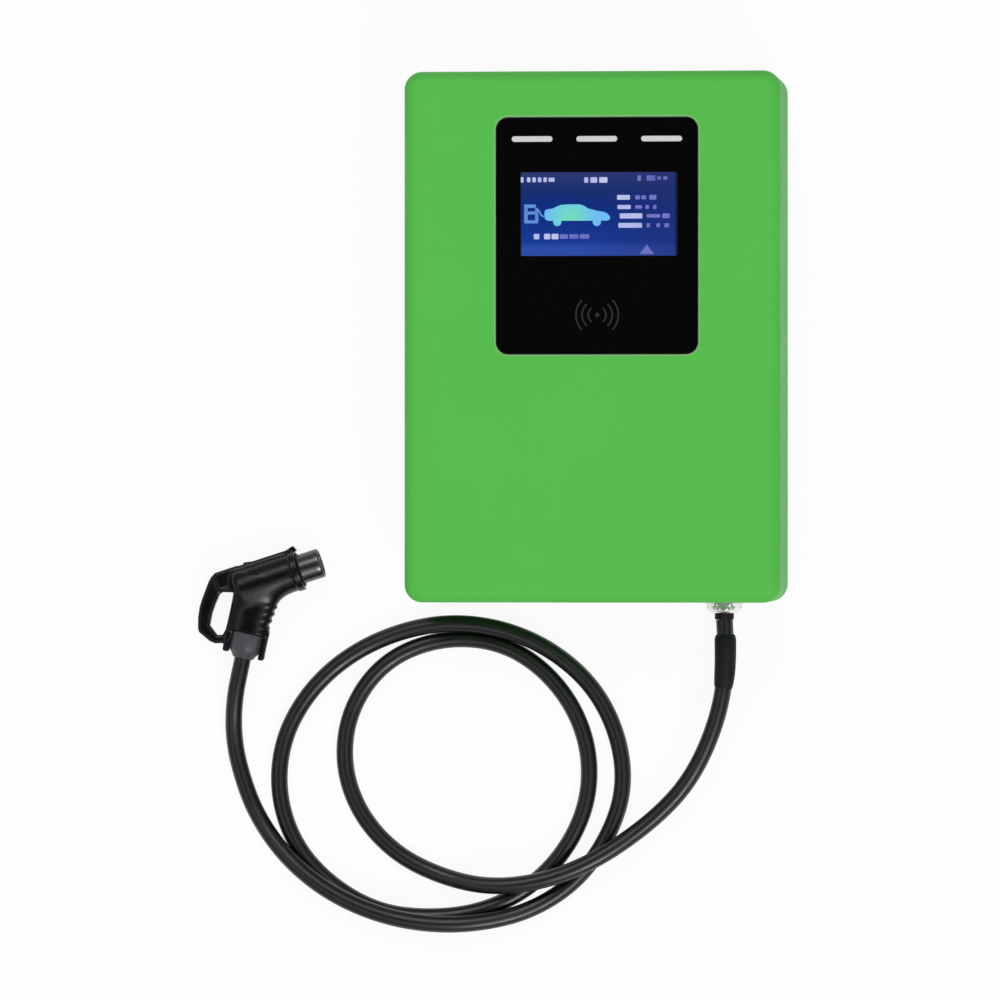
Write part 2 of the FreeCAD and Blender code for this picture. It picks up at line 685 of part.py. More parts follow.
def make_display_carrier():
    """The plate that carries the screen, lamps, reader and controller on moulded posts."""
    plate = panel_body("carrier_plate", CARRIER_BACK, "carrier_sheet",
                       "window_width + 24 + 20", "window_height - 40", "8", WINDOW_X, WINDOW_Y)
    lamp_level = f"({WINDOW_BACK} - 2.5 - 0.3 - 1.2 - board_thick)"
    reader_level = f"({WINDOW_BACK} - 2 - board_thick)"
    posts = post_row("screen_post", corner_spots(WINDOW_X, SCREEN_Y, "112", "56"), "5",
                     f"({WINDOW_BACK} - module_thick)")
    posts += post_row("reader_post", corner_spots(WINDOW_X, READER_Y, "48", "31"), "3.5",
                      reader_level)
    lamp_spots = [(f"{WINDOW_X} + {a} * (light_pitch + light_length / 2)", LIGHT_Y) for a in SIDES]
    bridge = block("lamp_bridge", "2 * light_pitch + light_length + 12", "24", "carrier_sheet",
                   WINDOW_X, LIGHT_Y, CARRIER_BACK)
    posts += post_row("lamp_post", lamp_spots, "3.5", lamp_level)
    for x, y in corner_spots(WINDOW_X, SCREEN_Y, "92", "52"):
        posts.append(rod("controller_post", "3.5", "6", x, y, f"{CARRIER_BACK} - 6"))
    holes = [rod("carrier_hole", "1.8", "carrier_sheet + 2", x, y, f"{CARRIER_BACK} - 1")
             for x, y in carrier_posts()]
    solid = fuse("carrier_solid", plate, bridge, *posts)
    return node("display_carrier", cut("display_carrier_all", solid, *holes))


def make_controller_board():
    """The display's controller board, hung behind the carrier."""
    face = f"({CARRIER_BACK} - 6 - board_thick)"
    board = block("controller_plate", "196", "116", "board_thick", WINDOW_X, SCREEN_Y, face)
    chip = block("processor", "28", "28", "2", f"{WINDOW_X} - 20", SCREEN_Y, f"{face} - 2")
    spreader = block("heat_spreader", "40", "40", "2", f"{WINDOW_X} - 20", SCREEN_Y, f"{face} - 4")
    fins = [block("spreader_fin", "1.2", "40", "6", f"{WINDOW_X} - 38 + {6 * n}", SCREEN_Y,
                  f"{face} - 10") for n in range(7)]
    plugs = [block("board_plug", "20", "9", "9", f"{WINDOW_X} + {40 + 26 * (n % 2)}",
                   f"{SCREEN_Y} - 46 + {30 * (n // 2)}", f"{face} - 9") for n in range(4)]
    return node("controller_board", fuse("controller_all", board, chip, spreader, *fins, *plugs))


def make_carrier_screws():
    screws = []
    for x, y in carrier_posts():
        shank = rod("carrier_shank", "1.4", "carrier_sheet + 8", x, y, CARRIER_BACK)
        head = rod("carrier_head", "3.2", "2.2", x, y, f"{CARRIER_BACK} - 2.2")
        drive = prism("carrier_drive", 6, "2.5", "1.2", x, y, f"{CARRIER_BACK} - 2.2")
        screws.append(cut("carrier_screw", fuse("carrier_screw_solid", shank, head), drive))
    return node("carrier_screws", group("carrier_screws_all", *screws))


# Inside the chassis


PLATE_Y = 20


def plate_spots():
    """Places of the six standoffs under the mounting plate, the middle pair below the rail."""
    return [(f"{a} * (plate_width / 2 - 15)", f"{PLATE_Y} + {b} * (plate_height / 2 - 15)")
            for a in SIDES for b in (-1, -0.3, 1)]


def make_standoffs():
    items = []
    for x, y in plate_spots():
        column = prism("standoff_column", 6, "9", "standoff", x, y, CHASSIS_FLOOR)
        bore = rod("standoff_bore", "2.6", "standoff", x, y, f"{CHASSIS_FLOOR} + 2")
        items.append(cut("standoff_piece", column, bore))
    return node("plate_standoffs", group("plate_standoffs_all", *items))


def make_mounting_plate():
    plate = panel_body("mounting_sheet", PLATE_BACK, "plate_sheet", "plate_width",
                       "plate_height", "8", "0", str(PLATE_Y))
    holes = [rod("plate_hole", "2.8", "plate_sheet + 2", x, y, f"{PLATE_BACK} - 1")
             for x, y in plate_spots()]
    return node("mounting_plate", cut("mounting_plate_all", plate, *holes))


def make_plate_screws():
    screws = []
    for x, y in plate_spots():
        shank = rod("plate_shank", "2.5", "plate_sheet + 6", x, y, f"{PLATE_BACK} - 6")
        head = rod("plate_head", "4.6", "3", x, y, PLATE_FRONT)
        drive = prism("plate_drive", 6, "3", "2", x, y, f"{PLATE_FRONT} + 1")
        screws.append(cut("plate_screw", fuse("plate_screw_solid", shank, head), drive))
    return node("plate_screws", group("plate_screws_all", *screws))


def make_rail(name, start, length, level):
    """A top-hat mounting rail that runs along X."""
    body = new_body(name + "_section")
    profile = sketch_on(body, "YZ_Plane", start)
    edge = "rail_width / 2"
    channel = "(rail_width / 2 - 4)"
    corners = [(f"-({edge})", "rail_depth"), (f"-({edge})", "rail_depth - 1"),
               (f"-{channel}", "rail_depth - 1"), (f"-{channel}", "0"), (channel, "0"),
               (channel, "rail_depth - 1"), (edge, "rail_depth - 1"), (edge, "rail_depth"),
               (f"{channel} - 1", "rail_depth"), (f"{channel} - 1", "1"),
               (f"1 - {channel}", "1"), (f"1 - {channel}", "rail_depth")]
    draw_outline(profile, [(f"{level} + {y}", f"{PLATE_FRONT} + {z}") for y, z in corners])
    pad(body, profile, length)
    return node(name, body)


def device_body(name, x, width, level):
    """A rail device: a stepped case whose nose stands between two rows of terminals."""
    body = new_body(name + "_case")
    profile = sketch_on(body, "YZ_Plane", f"{x} - {width} / 2")
    half = "(device_height / 2)"
    nose = "(device_nose / 2)"
    corners = [(f"-{half}", "0"), (half, "0"), (half, "device_shoulder - 4"),
               (f"{half} - 4", "device_shoulder"), (nose, "device_shoulder"),
               (nose, "device_depth"), (f"-{nose}", "device_depth"),
               (f"-{nose}", "device_shoulder"), (f"4 - {half}", "device_shoulder"),
               (f"-{half}", "device_shoulder - 4")]
    draw_outline(profile, [(f"{level} + {y}", f"{RAIL_FRONT} + {z}") for y, z in corners])
    pad(body, profile, width)
    return body


def terminal_wells(x, width, poles, level):
    """Screw wells in the shoulders and wire mouths in the ends of a device."""
    tools = []
    for pole in range(poles):
        spot = f"{x} - {width} / 2 + {width} / {poles} * {pole + 0.5}"
        for side in SIDES:
            y = f"{level} + {side} * (device_nose / 2 + device_height / 2) / 2"
            tools.append(rod("screw_well", "3.2", "12", spot, y,
                             f"{RAIL_FRONT} + device_shoulder - 8"))
            end = f"{level} + {side} * (device_height / 2 - 4) - 4"
            tools.append(block("wire_mouth", "9", "10", "11", spot, f"{end} + 4",
                               f"{RAIL_FRONT} + 16"))
    return tools


def make_device(name, x, width, poles, level="device_level", extras=()):
    case = device_body(name, x, width, level)
    solid = fuse(name + "_solid", case, *extras) if extras else case
    return node(name, cut(name + "_all", solid, *terminal_wells(x, width, poles, level)))


BREAKER_X = "-110"
TOGGLE_Z = f"({RAIL_FRONT} + device_depth - 3)"


def make_breaker():
    """The main breaker, with a round pocket in its nose for the toggle's drum."""
    case = device_body("main_breaker", BREAKER_X, "54", "device_level")
    drum = rod("drum_pocket", "toggle_radius + fit_gap", "28 + 2 * fit_gap",
               f"{BREAKER_X} - 14 - fit_gap", "device_level", TOGGLE_Z, "x")
    axle = rod("axle_hole", "2.06", "40", f"{BREAKER_X} - 20", "device_level", TOGGLE_Z, "x")
    wells = terminal_wells(BREAKER_X, "54", 2, "device_level")
    return node("main_breaker", cut("main_breaker_all", case, drum, axle, *wells))


def make_breaker_toggle():
    """The breaker's toggle: a drum on two stub axles with a handle, resting at ON."""
    drum = rod("toggle_drum", "toggle_radius", "28", f"{BREAKER_X} - 14", "device_level",
               TOGGLE_Z, "x")
    axle = rod("toggle_axle", "2", "38", f"{BREAKER_X} - 19", "device_level", TOGGLE_Z, "x")
    handle = doc.addObject("Part::Box", "toggle_handle")
    bind(handle, Length="26", Width="5", Height="toggle_radius + 10")
    handle.Placement = FreeCAD.Placement(
        Vector(size(f"{BREAKER_X} - 13"), 0, 0), FreeCAD.Rotation(X_AXIS, -TOGGLE_REST),
    )
    lean = f"cos({TOGGLE_REST})"
    handle.setExpression("Placement.Base.x", terms(f"{BREAKER_X} - 13"))
    handle.setExpression("Placement.Base.y", terms(f"device_level - 2.5 * {lean}"))
    handle.setExpression("Placement.Base.z", terms(f"{TOGGLE_Z} + 2.5 * sin({TOGGLE_REST})"))
    return node("breaker_toggle", fuse("breaker_toggle_all", drum, axle, handle))


TOGGLE_REST = 40


def make_contactor():
    """The power contactor: a deep block with terminal steps and a front auxiliary block."""
    x = "10"
    case = device_body("power_contactor", x, "75", "device_level")
    head = block("contactor_head", "60", "40", "22", x, "device_level",
                 f"{RAIL_FRONT} + device_depth")
    ribs = [block("contactor_rib", "2", "device_height - 8", "6",
                  f"{x} - 36 + {14.4 * n}", "device_level",
                  f"{RAIL_FRONT} + device_shoulder") for n in range(6)]
    solid = fuse("contactor_solid", case, head, *ribs)
    wells = terminal_wells(x, "75", 4, "device_level")
    return node("power_contactor", cut("power_contactor_all", solid, *wells))


def make_meter():
    """The energy meter, with a recessed display and two round buttons."""
    x = "120"
    case = device_body("energy_meter", x, "72", "device_level")
    face = f"({RAIL_FRONT} + device_depth)"
    glass = block("meter_glass", "44", "16", "2", x, "device_level + 8", f"{face} - 1")
    buttons = [rod("meter_button", "3", "1.5", f"{x} + {20 * side}", "device_level - 12", face)
               for side in SIDES]
    wells = terminal_wells(x, "72", 4, "device_level")
    body = cut("meter_cut", case, glass, *wells)
    return node("energy_meter", fuse("energy_meter_all", body, *buttons))


def make_terminals():
    """Five feed-through terminals between two end stops on the terminal rail."""
    slices = []
    tools = []
    pitch = 14
    for number in range(5):
        x = f"supply_side - 30 + {pitch * number}"
        level = "terminal_level"
        slices.append(block("terminal_slice", str(pitch - 1), "56", "42", x, level, RAIL_FRONT))
        slices.append(block("terminal_web", str(pitch), "40", "34", x, level, RAIL_FRONT))
        for side in SIDES:
            y = f"{level} + {side} * 20"
            tools.append(rod("terminal_well", "3.4", "10", x, y, f"{RAIL_FRONT} + 36"))
            tools.append(block("terminal_mouth", "9", "10", "12", x,
                               f"{level} + {side} * 26", f"{RAIL_FRONT} + 14"))
    stops = [block("end_stop", "9", "46", "30", f"supply_side - 30 + {x}", "terminal_level",
                   RAIL_FRONT) for x in (-11.5, 4 * pitch + 11.5)]
    solid = fuse("terminal_solid", *slices, *stops)
    return node("terminal_block", cut("terminal_block_all", solid, *tools))


def make_earth_bar():
    """A brass bar with seven clamp screws on two feet."""
    level = "-255"
    x = "supply_side + 10"
    bar = block("earth_strip", "120", "12", "6", x, level, f"{PLATE_FRONT} + 12")
    feet = [block("earth_foot", "12", "16", "12", f"{x} + {46 * side}", level, PLATE_FRONT)
            for side in SIDES]
    heads = [rod("earth_screw", "3.6", "3.5", f"{x} - 42 + {14 * n}", level,
                 f"{PLATE_FRONT} + 18") for n in range(7)]
    return node("earth_bar", fuse("earth_bar_all", bar, *feet, *heads))


def make_control_board():
    """The charging controller: board, relays, capacitors, plugs and a small heat sink."""
    x = 70
    y = 215
    spots = corner_spots(str(x), str(y), "122", "82")
    posts = [rod("board_post", "4", "10", px, py, PLATE_FRONT) for px, py in spots]
    node("board_posts", group("board_posts_all", *posts))
    level = f"({PLATE_FRONT} + 10)"
    top = f"({level} + board_thick)"
    board = block("control_plate", "256", "176", "board_thick", str(x), str(y), level)
    parts = [block("relay", "28", "22", "20", f"{x - 95 + 36 * n}", f"{y + 55}", top)
             for n in range(4)]
    parts += [rod("capacitor", "8", "26", f"{x + 70 + 20 * n}", f"{y + 58}", top)
              for n in range(3)]
    parts += [block("wire_plug", "34", "12", "14", f"{x - 90 + 42 * n}", f"{y - 74}", top)
              for n in range(5)]
    parts.append(block("processor_module", "56", "44", "6", f"{x - 40}", f"{y - 20}", top))
    parts.append(block("sink_base", "60", "50", "5", f"{x + 60}", f"{y - 15}", top))
    parts += [block("sink_fin", "2", "50", "20", f"{x + 33 + 9 * n}", f"{y - 15}",
                    f"{top} + 5") for n in range(7)]
    return node("control_board", fuse("control_board_all", board, *parts))


def make_supply():
    """The auxiliary power supply on its own short rail, with a slotted case."""
    x = "-170"
    level = "225"
    case = device_body("aux_supply", x, "70", level)
    slots = [block("cooling_slot", "50", "2.5", "4", x, f"{level} - 15 + {6 * n}",
                   f"{RAIL_FRONT} + device_depth - 3") for n in range(6)]
    wells = terminal_wells(x, "70", 3, level)
    return node("auxiliary_supply", cut("auxiliary_supply_all", case, *slots, *wells))


def make_current_sensor():
    """The residual-current sensor: a ring on a foot, round the outgoing cable."""
    level = "-255"
    ring = rod("sensor_ring", "24", "18", "gland_side", f"{level} - 9", "gland_level", "y")
    foot = block("sensor_foot", "36", "18", f"gland_level - {PLATE_FRONT}", "gland_side", level,
                 PLATE_FRONT)
    bore = rod("sensor_bore", "cable_width / 2 + 1", "24", "gland_side", f"{level} - 12",
               "gland_level", "y")
    return node("current_sensor", cut("current_sensor_all", fuse("sensor_solid", ring, foot), bore))


def make_entry_grommet():
    """The rubber grommet that the supply cable enters through, in the chassis floor."""
    hole = "(supply_hole / 2)"
    parts = [
        rod("grommet_neck", f"{hole} - 0.1", "chassis_wall", "supply_side", "entry_level",
            "bracket_depth"),
        rod("grommet_back", f"{hole} + 4", "3", "supply_side", "entry_level", "bracket_depth - 3"),
        cone("grommet_front", f"{hole} + 4", f"{hole} - 3", "9", "supply_side", "entry_level",
             CHASSIS_FLOOR),
    ]
    bore = rod("grommet_bore", f"{hole} - 6", "30", "supply_side", "entry_level",
               "bracket_depth - 10")
    return node("supply_grommet", cut("supply_grommet_all", fuse("grommet_solid", *parts), bore))


def make_breather():
    """The breather plug that lets the sealed cabinet equalise its pressure."""
    stem = rod("breather_stem", "6", "12", "vent_side", "entry_level", "bracket_depth - 2")
    cap = cone("breather_cap", "8", "10", "6", "vent_side", "entry_level", "bracket_depth - 6")
    nut_ring = prism("breather_nut", 6, "17", "4", "vent_side", "entry_level", CHASSIS_FLOOR)
    slots = [block("breather_slot", "22", "1.6", "2.5", "vent_side",
                   f"entry_level + {4 * n}", "bracket_depth - 7") for n in (-1, 0, 1)]
    solid = fuse("breather_solid", stem, cap, nut_ring)
    return node("breather_plug", cut("breather_plug_all", solid, *slots))


# Cable entry


GLAND_TOP = f"(-{CHASSIS_BOTTOM})"


def make_gland():
    """A metal cable gland through the chassis: washer, body, lock nut, cap and rubber insert."""
    x = "gland_side"
    z = "gland_level"
    thread = "(gland_thread / 2)"
    bore = "(cable_width / 2 + 0.5)"
    washer = rod("washer_disc", f"{thread} + 5", "2", x, f"{GLAND_TOP} - 2", z, "y")
    hole = rod("washer_hole", f"{thread} + 0.1", "4", x, f"{GLAND_TOP} - 3", z, "y")
    node("gland_washer", cut("gland_washer_all", washer, hole))
    hexagon = prism("gland_hexagon", 6, "gland_hex", "8", x, f"{GLAND_TOP} - 10", z, "y")
    tube = rod("gland_tube", thread, "22", x, f"{GLAND_TOP} - 10", z, "y")
    way = rod("gland_way", bore, "40", x, f"{GLAND_TOP} - 14", z, "y")
    node("gland_body", cut("gland_body_all", fuse("gland_solid", hexagon, tube), way))
    nut = prism("locknut_hexagon", 6, "gland_hex", "7", x, f"{GLAND_TOP} + chassis_wall", z, "y")
    thread_hole = rod("locknut_hole", f"{thread} + 0.1", "12", x, GLAND_TOP, z, "y")
    node("gland_locknut", cut("gland_locknut_all", nut, thread_hole))
    low = f"({GLAND_TOP} - 10)"
    flats = prism("cap_flats", 6, "gland_hex - 1", "6", x, f"{low} - 6", z, "y")
    dome = cone("cap_dome", "16.5", "22.5", "4.5", x, f"{low} - 10.5", z, "y")
    cap_way = rod("cap_way", "14.4", "20", x, f"{low} - 14", z, "y")
    node("gland_cap", cut("gland_cap_all", fuse("cap_solid", flats, dome), cap_way))
    plug = cone("insert_cone", "13.9", "14.3", "19", x, EXIT_Y, z, "y")
    plug_way = rod("insert_way", "cable_width / 2 + 0.1", "30", x, f"{EXIT_Y} - 1", z, "y")
    return node("gland_insert", cut("gland_insert_all", plug, plug_way))


EXIT_Y = f"({GLAND_TOP} - 29.8)"


def make_cable_tail():
    """The end of the cable inside the gland and cabinet, with its five cores bared."""
    tail = rod("tail_jacket", "cable_width / 2", "190", "gland_side", f"{EXIT_Y} + 0.6",
               "gland_level", "y")
    cores = []
    for number in range(5):
        angle = 72 * number + 90
        cores.append(rod("tail_core", "3.4", "60",
                         f"gland_side + 7.5 * cos({angle})", f"{EXIT_Y} + 185",
                         f"gland_level + 7.5 * sin({angle})", "y"))
    return node("cable_tail", fuse("cable_tail_all", tail, *cores))


ROUTE = [
    (184, -414, 55), (184, -590, 48), (72, -724, 20), (-5, -770, 40), (-85, -802, 40.5),
    (-165, -812, 36), (-240, -796, 14), (-306, -761, 12.7), (-357, -707, 12.7),
    (-385, -640, 12.7), (-384, -567, 12.7), (-351, -503, 12.7), (-298, -461, 12.7),
    (-225, -443, 12.7), (-152, -449, 12.7), (-92, -483, 12.7), (-44, -540, 12.7),
    (-19, -609, 12.7), (-21, -683, 12.7), (-53, -752, 12.7), (-108, -808, 12.7),
    (-178, -845, 12.7), (-256, -858, 12.7), (-334, -850, 12.7), (-406, -810, 12.7),
    (-459, -750, 12.7), (-485, -672, 12.7), (-477, -592, 12.7), (-441, -522, 12.7),
    (-383, -468, 12.7), (-309, -432, 12.7), (-228, -415, 12.7), (-146, -423, 12.7),
    (-70, -454, 12.7), (-9, -512, 12.7), (26, -586, 12.7), (33, -664, 12.7),
    (10, -738, 12.7), (-38, -803, 12.7), (-105, -849, 18), (-182, -867, 34),
    (-258, -867, 39), (-335, -852, 39.5), (-409, -820, 38.5), (-472, -770, 29),
    (-519, -705, 15), (-545, -634, 12.7), (-552, -582, 16.5), (-545.3, -531, 28.5),
    (-535.96, -486.13, 31), (-519.74, -409.84, 31),
]
ARC_SHARE = 0.45


def rounded_path(points):
    """Straight runs joined by tangent arcs, each as large as its two runs allow."""
    points = [Vector(*point) for point in points]
    edges = []
    radii = []
    start = points[0]
    for before, corner, after in zip(points, points[1:], points[2:]):
        incoming = (corner - before).normalize()
        outgoing = (after - corner).normalize()
        setback = ARC_SHARE * min((corner - before).Length, (after - corner).Length)
        half_turn = incoming.getAngle(outgoing) / 2
        radius = setback / math.tan(half_turn)
        radii.append(radius)
        first = corner - incoming * setback
        last = corner + outgoing * setback
        inwards = (outgoing - incoming).normalize()
        middle = corner + inwards * (radius / math.cos(half_turn) - radius)
        edges.append(Part.LineSegment(start, first).toShape())
        edges.append(Part.Arc(first, middle, last).toShape())
        start = last
    edges.append(Part.LineSegment(start, points[-1]).toShape())
    return Part.Wire(edges), radii


def tube_along(path, radius):
    """A round tube along a path of tangent runs and arcs."""
    start = path.Edges[0].firstVertex().Point
    direction = path.Edges[0].tangentAt(path.Edges[0].FirstParameter)
    ring = Part.Wire([Part.makeCircle(radius, start, direction)])
    solid = path.makePipeShell([ring], True, False)
    return solid


def make_cable():
    """The charging cable, which lies in two loose loops from the gland to the connector."""
    path, radii = rounded_path(ROUTE)
    print("cord radii:", ", ".join(f"{radius:.0f}" for radius in radii))
    print(f"cord length: {path.Length:.0f} mm")
    radius = size("cable_width / 2")
    shape = tube_along(path, radius)
    expected = math.pi * radius ** 2 * path.Length
    if abs(shape.Volume / expected - 1) > 0.002:
        raise RuntimeError(f"the cable's volume is {shape.Volume:.0f}, not {expected:.0f}")
    item = doc.addObject("Part::Feature", "charging_cable_tube")
    item.Shape = shape
    return node("charging_cable", item)


def make_sleeve():
    """The kink-guard sleeve on the cable's first straight run."""
    start = Vector(*ROUTE[0])
    run = Vector(*ROUTE[1]) - start
    direction = run.normalize()
    rotation = FreeCAD.Rotation(Z_AXIS, direction)
    near = start + direction * 22
    items = []
    for name, radius, extra in (("sleeve_outer", "sleeve_width / 2", 0),
                                ("sleeve_bore", "cable_width / 2 + 0.1", 2)):
        item = doc.addObject("Part::Cylinder", name)
        bind(item, Radius=radius, Height=f"sleeve_length + {2 * extra}")
        item.Placement = FreeCAD.Placement(near - direction * extra, rotation)
        items.append(item)
    return node("cable_sleeve", cut("cable_sleeve_all", *items))


# Connector. Its pieces are drawn in a frame of their own: the origin in the middle of the
# collar's front face, x along the nozzle, y towards the latch, z up from the floor it lies on.


GUN = FreeCAD.Placement(Vector(-448, -341, 31), FreeCAD.Rotation(Z_AXIS, 18))
GRIP_START = -64.5
LEVER_X = "-38"
LEVER_Y = "26"
BODY_RADIUS = "(barrel_radius - 1.5)"
CAVITY_RADIUS = f"({BODY_RADIUS} - shell_wall)"


def gun_node(label, item):
    """A finished piece of the connector, moved to where the connector lies."""
    item.Placement = GUN
    return node(label, item)


def along_grip(name, *items):
    """Pieces drawn with x to the grip's front and z down the grip, set into the connector."""
    lean = math.radians(size("grip_lean"))
    down = Vector(-math.sin(lean), -math.cos(lean), 0)
    front = Vector(math.cos(lean), -math.sin(lean), 0)
    item = group(name, *items) if len(items) > 1 else fuse(name, *items, *items)
    item.Placement = FreeCAD.Placement(
        Vector(GRIP_START, 0, 0), FreeCAD.Rotation(front, Z_AXIS, down, "ZXY"),
    )
    return item


def turned(name, profile):
    """A body turned about the connector's x axis from pairs of place and radius."""
    body = new_body(name)
    outline = sketch_on(body, "XY_Plane")
    draw_outline(outline, profile)
    revolve(body, outline)
    return body


def extruded(name, profile, width):
    """A plate drawn in the connector's middle plane, as thick as width."""
    body = new_body(name)
    outline = sketch_on(body, "XY_Plane", f"-({width}) / 2")
    draw_outline(outline, profile)
    pad(body, outline, width)
    return body


def make_barrel():
    body = turned("barrel_form", [
        ("0", "0"), ("0", "barrel_radius - 1"), ("-1", "barrel_radius"),
        ("-10", "barrel_radius"), ("-11.5", BODY_RADIUS), ("-119", BODY_RADIUS), ("-119", "0"),
    ])
    round_edges(body, "22", lambda box: box.XMax < -118.9)
    return body


def make_grip():
    """The grip's outer form with its finger grooves, ears beside the gland and end face."""
    shaft = panel_body("grip_shaft", "-4", "80", "grip_width", "grip_thick", "19")
    front_ear = block("front_ear", "9", "16", "38", "26", "0", "70")
    ear_end = rod("front_ear_end", "8", "9", "21.5", "0", "106", "x")
    rear_ear = block("rear_ear", "9", "20", "32", "-26.5", "0", "60")
    solid = fuse("grip_solid", shaft, front_ear, ear_end, rear_ear)
    grooves = [rod("finger_groove", "8", "50", "36.2", "-25", f"{24 + 11 * n}", "y")
               for n in range(5)]
    eye = rod("lanyard_eye", "3", "20", "16", "0", "106", "x")
    return along_grip("grip_form", cut("grip_cut", solid, *grooves, eye))


LOOP = [
    (-98, 15, 0), (-129, 14.5, 0), (-150, -8, 0), (-164, -33, 0), (-157, -53, 0),
    (-146, -60, 0), (-131, -59, 0),
]


def make_loop():
    """The round hand loop from the barrel's back to the foot of the grip."""
    path, radii = rounded_path(LOOP)
    item = doc.addObject("Part::Feature", "hand_loop")
    item.Shape = tube_along(path, size("loop_radius"))
    return item


def make_housing_solid():
    """Barrel, latch ridge, grip, gusset and hand loop, hollow and fitted with screw bosses."""
    ridge = extruded("latch_ridge", [
        ("-106", "15"), ("-106", "27"), ("-100", "32"), ("-6", "32"), ("-2", "30"), ("-2", "15"),
    ], "2 * lever_width - 2")
    top = size("32")
    round_edges(ridge, "3", lambda box: box.YMin > top - 0.01 and box.XLength > 50)
    gusset = extruded("grip_gusset", [
        ("-16", "-18"), ("-24", "-28.5"), ("-34", "-31"), ("-44", "-38"), ("-60", "-50"),
        ("-75", "-30"), ("-60", "-10"),
    ], "26")
    outer = fuse("housing_outer", make_barrel(), ridge, make_grip(), gusset, make_loop())
    wide = CAVITY_RADIUS
    cavity = turned("barrel_cavity", [
        ("-3", "0"), ("-3", wide), ("-14.3", wide), ("-14.3", "21"), ("-17.3", "21"),
        ("-17.3", wide), ("-96", wide), ("-106", "18"), ("-106", "0"),
    ])
    hollow = panel_body("grip_hollow", "0", "73", "grip_width - 2 * shell_wall - 3",
                        "grip_thick - 2 * shell_wall", "15")
    inner = along_grip("grip_cavity", hollow)
    pieces = cut("housing_hollow", outer, cavity, inner)
    spots = [("-28", "-17"), ("-90", "12"), ("-65.6", "-40.9"), ("-110.4", "-40.5")]
    columns = [rod("boss_column", "4.2", "60", x, y, "-30") for x, y in spots]
    bosses = common("housing_bosses", outer, fuse("boss_columns", *columns))
    drills = [rod("boss_drill", "1.5", "60", x, y, "-32") for x, y in spots]
    heads = [rod("boss_sink", "3.6", "30", x, y, "-44") for x, y in spots]
    mouth = rod("nozzle_mouth", "nozzle_root + fit_gap", "5", "-4", "0", "0", "x")
    slot = block("lever_slot", "71", "20", "lever_width + 2", "-45.5", "32",
                 "-(lever_width + 2) / 2")
    notch = block("lever_notch", "14", "12", "lever_width + 2", "-4", "32",
                  "-(lever_width + 2) / 2")
    pin = rod("pin_hole", "lever_pin", "24.4", LEVER_X, LEVER_Y, "-12.2")
    gland = along_grip("gland_room", gland_form("gland_clear", "fit_gap", "76"))
    spigot = along_grip("spigot_room", rod("spigot_clear", "16.2", "10", "0", "0", "70"))
    nozzle_screw = rod("nozzle_screw_hole", "1.8", "10", "-10.5", "-3", "22")
    recess = rod("nozzle_screw_recess", "5.5", "10", "-10.5", "-3", "27.8")
    return cut("housing_solid", fuse("housing_ribs", pieces, bosses), *drills, *heads, mouth,
               slot, notch, pin, gland, spigot, nozzle_screw, recess), spots


def make_shells():
    """The housing split along its middle plane into an upper and a lower shell."""
    solid, spots = make_housing_solid()
    for label, low in (("upper", "0"), ("lower", "-60")):
        half = block("half_" + label, "260", "260", "60", "-90", "-30", low)
        gun_node(f"housing_{label}", common(f"housing_{label}_all", solid, half))
    screws = []
    for x, y in spots:
        shank = rod("housing_shank", "1.5", "24", x, y, "-14")
        head = rod("housing_head", "3", "2.4", x, y, "-16.4")
        drive = prism("housing_drive", 6, "2.5", "1.5", x, y, "-16.4")
        screws.append(cut("housing_screw", fuse("housing_screw_solid", shank, head), drive))
    return gun_node("housing_screws", group("housing_screws_all", *screws))


def gland_form(name, gap, start):
    """The connector gland: an octagon that narrows to the cable."""
    flats = f"(2 * 23 + 2 * ({gap}))"
    nut = prism(name + "_nut", 8, flats, f"104 - ({start})", "0", "0", start)
    tail = cone(name + "_tail", f"20 + {gap}", f"15 + {gap}", "10", "0", "0", "104")
    return fuse(name, nut, tail)


def make_gun_gland():
    """The connector's gland with its spigot, bored for the cable that ends inside the grip."""
    spigot = rod("gland_spigot", "16", "10", "0", "0", "67")
    solid = fuse("gun_gland_solid", gland_form("gland_own", "0", "76.3"), spigot)
    bore = rod("gun_gland_bore", "cable_width / 2 + 0.2", "60", "0", "0", "60")
    form = along_grip("gun_gland_form", cut("gun_gland_bored", solid, bore))
    return gun_node("gun_gland", group("gun_gland_all", form))


def make_nozzle():
    """The plug's nozzle, its flange held behind the collar."""
    inner = "(nozzle_radius - nozzle_wall)"
    body = turned("nozzle_form", [
        ("-7", inner), ("-7", "25.5"), ("-3.3", "25.5"), ("-3.3", "nozzle_root"),
        ("2.6", "nozzle_root"), ("3", "nozzle_radius"),
        ("nozzle_length - 3", "nozzle_radius"), ("nozzle_length", "nozzle_radius - 1.5"),
        ("nozzle_length", inner),
    ])
    gun_node("connector_nozzle", group("connector_nozzle_all", body))
    seal = turned("nozzle_seal_form", [
        ("0", "nozzle_root + 0.1"), ("0", "25"), ("1.2", "25.6"), ("2.4", "25"),
        ("2.4", "nozzle_root + 0.1"),
    ])
    return gun_node("nozzle_seal", group("nozzle_seal_all", seal))


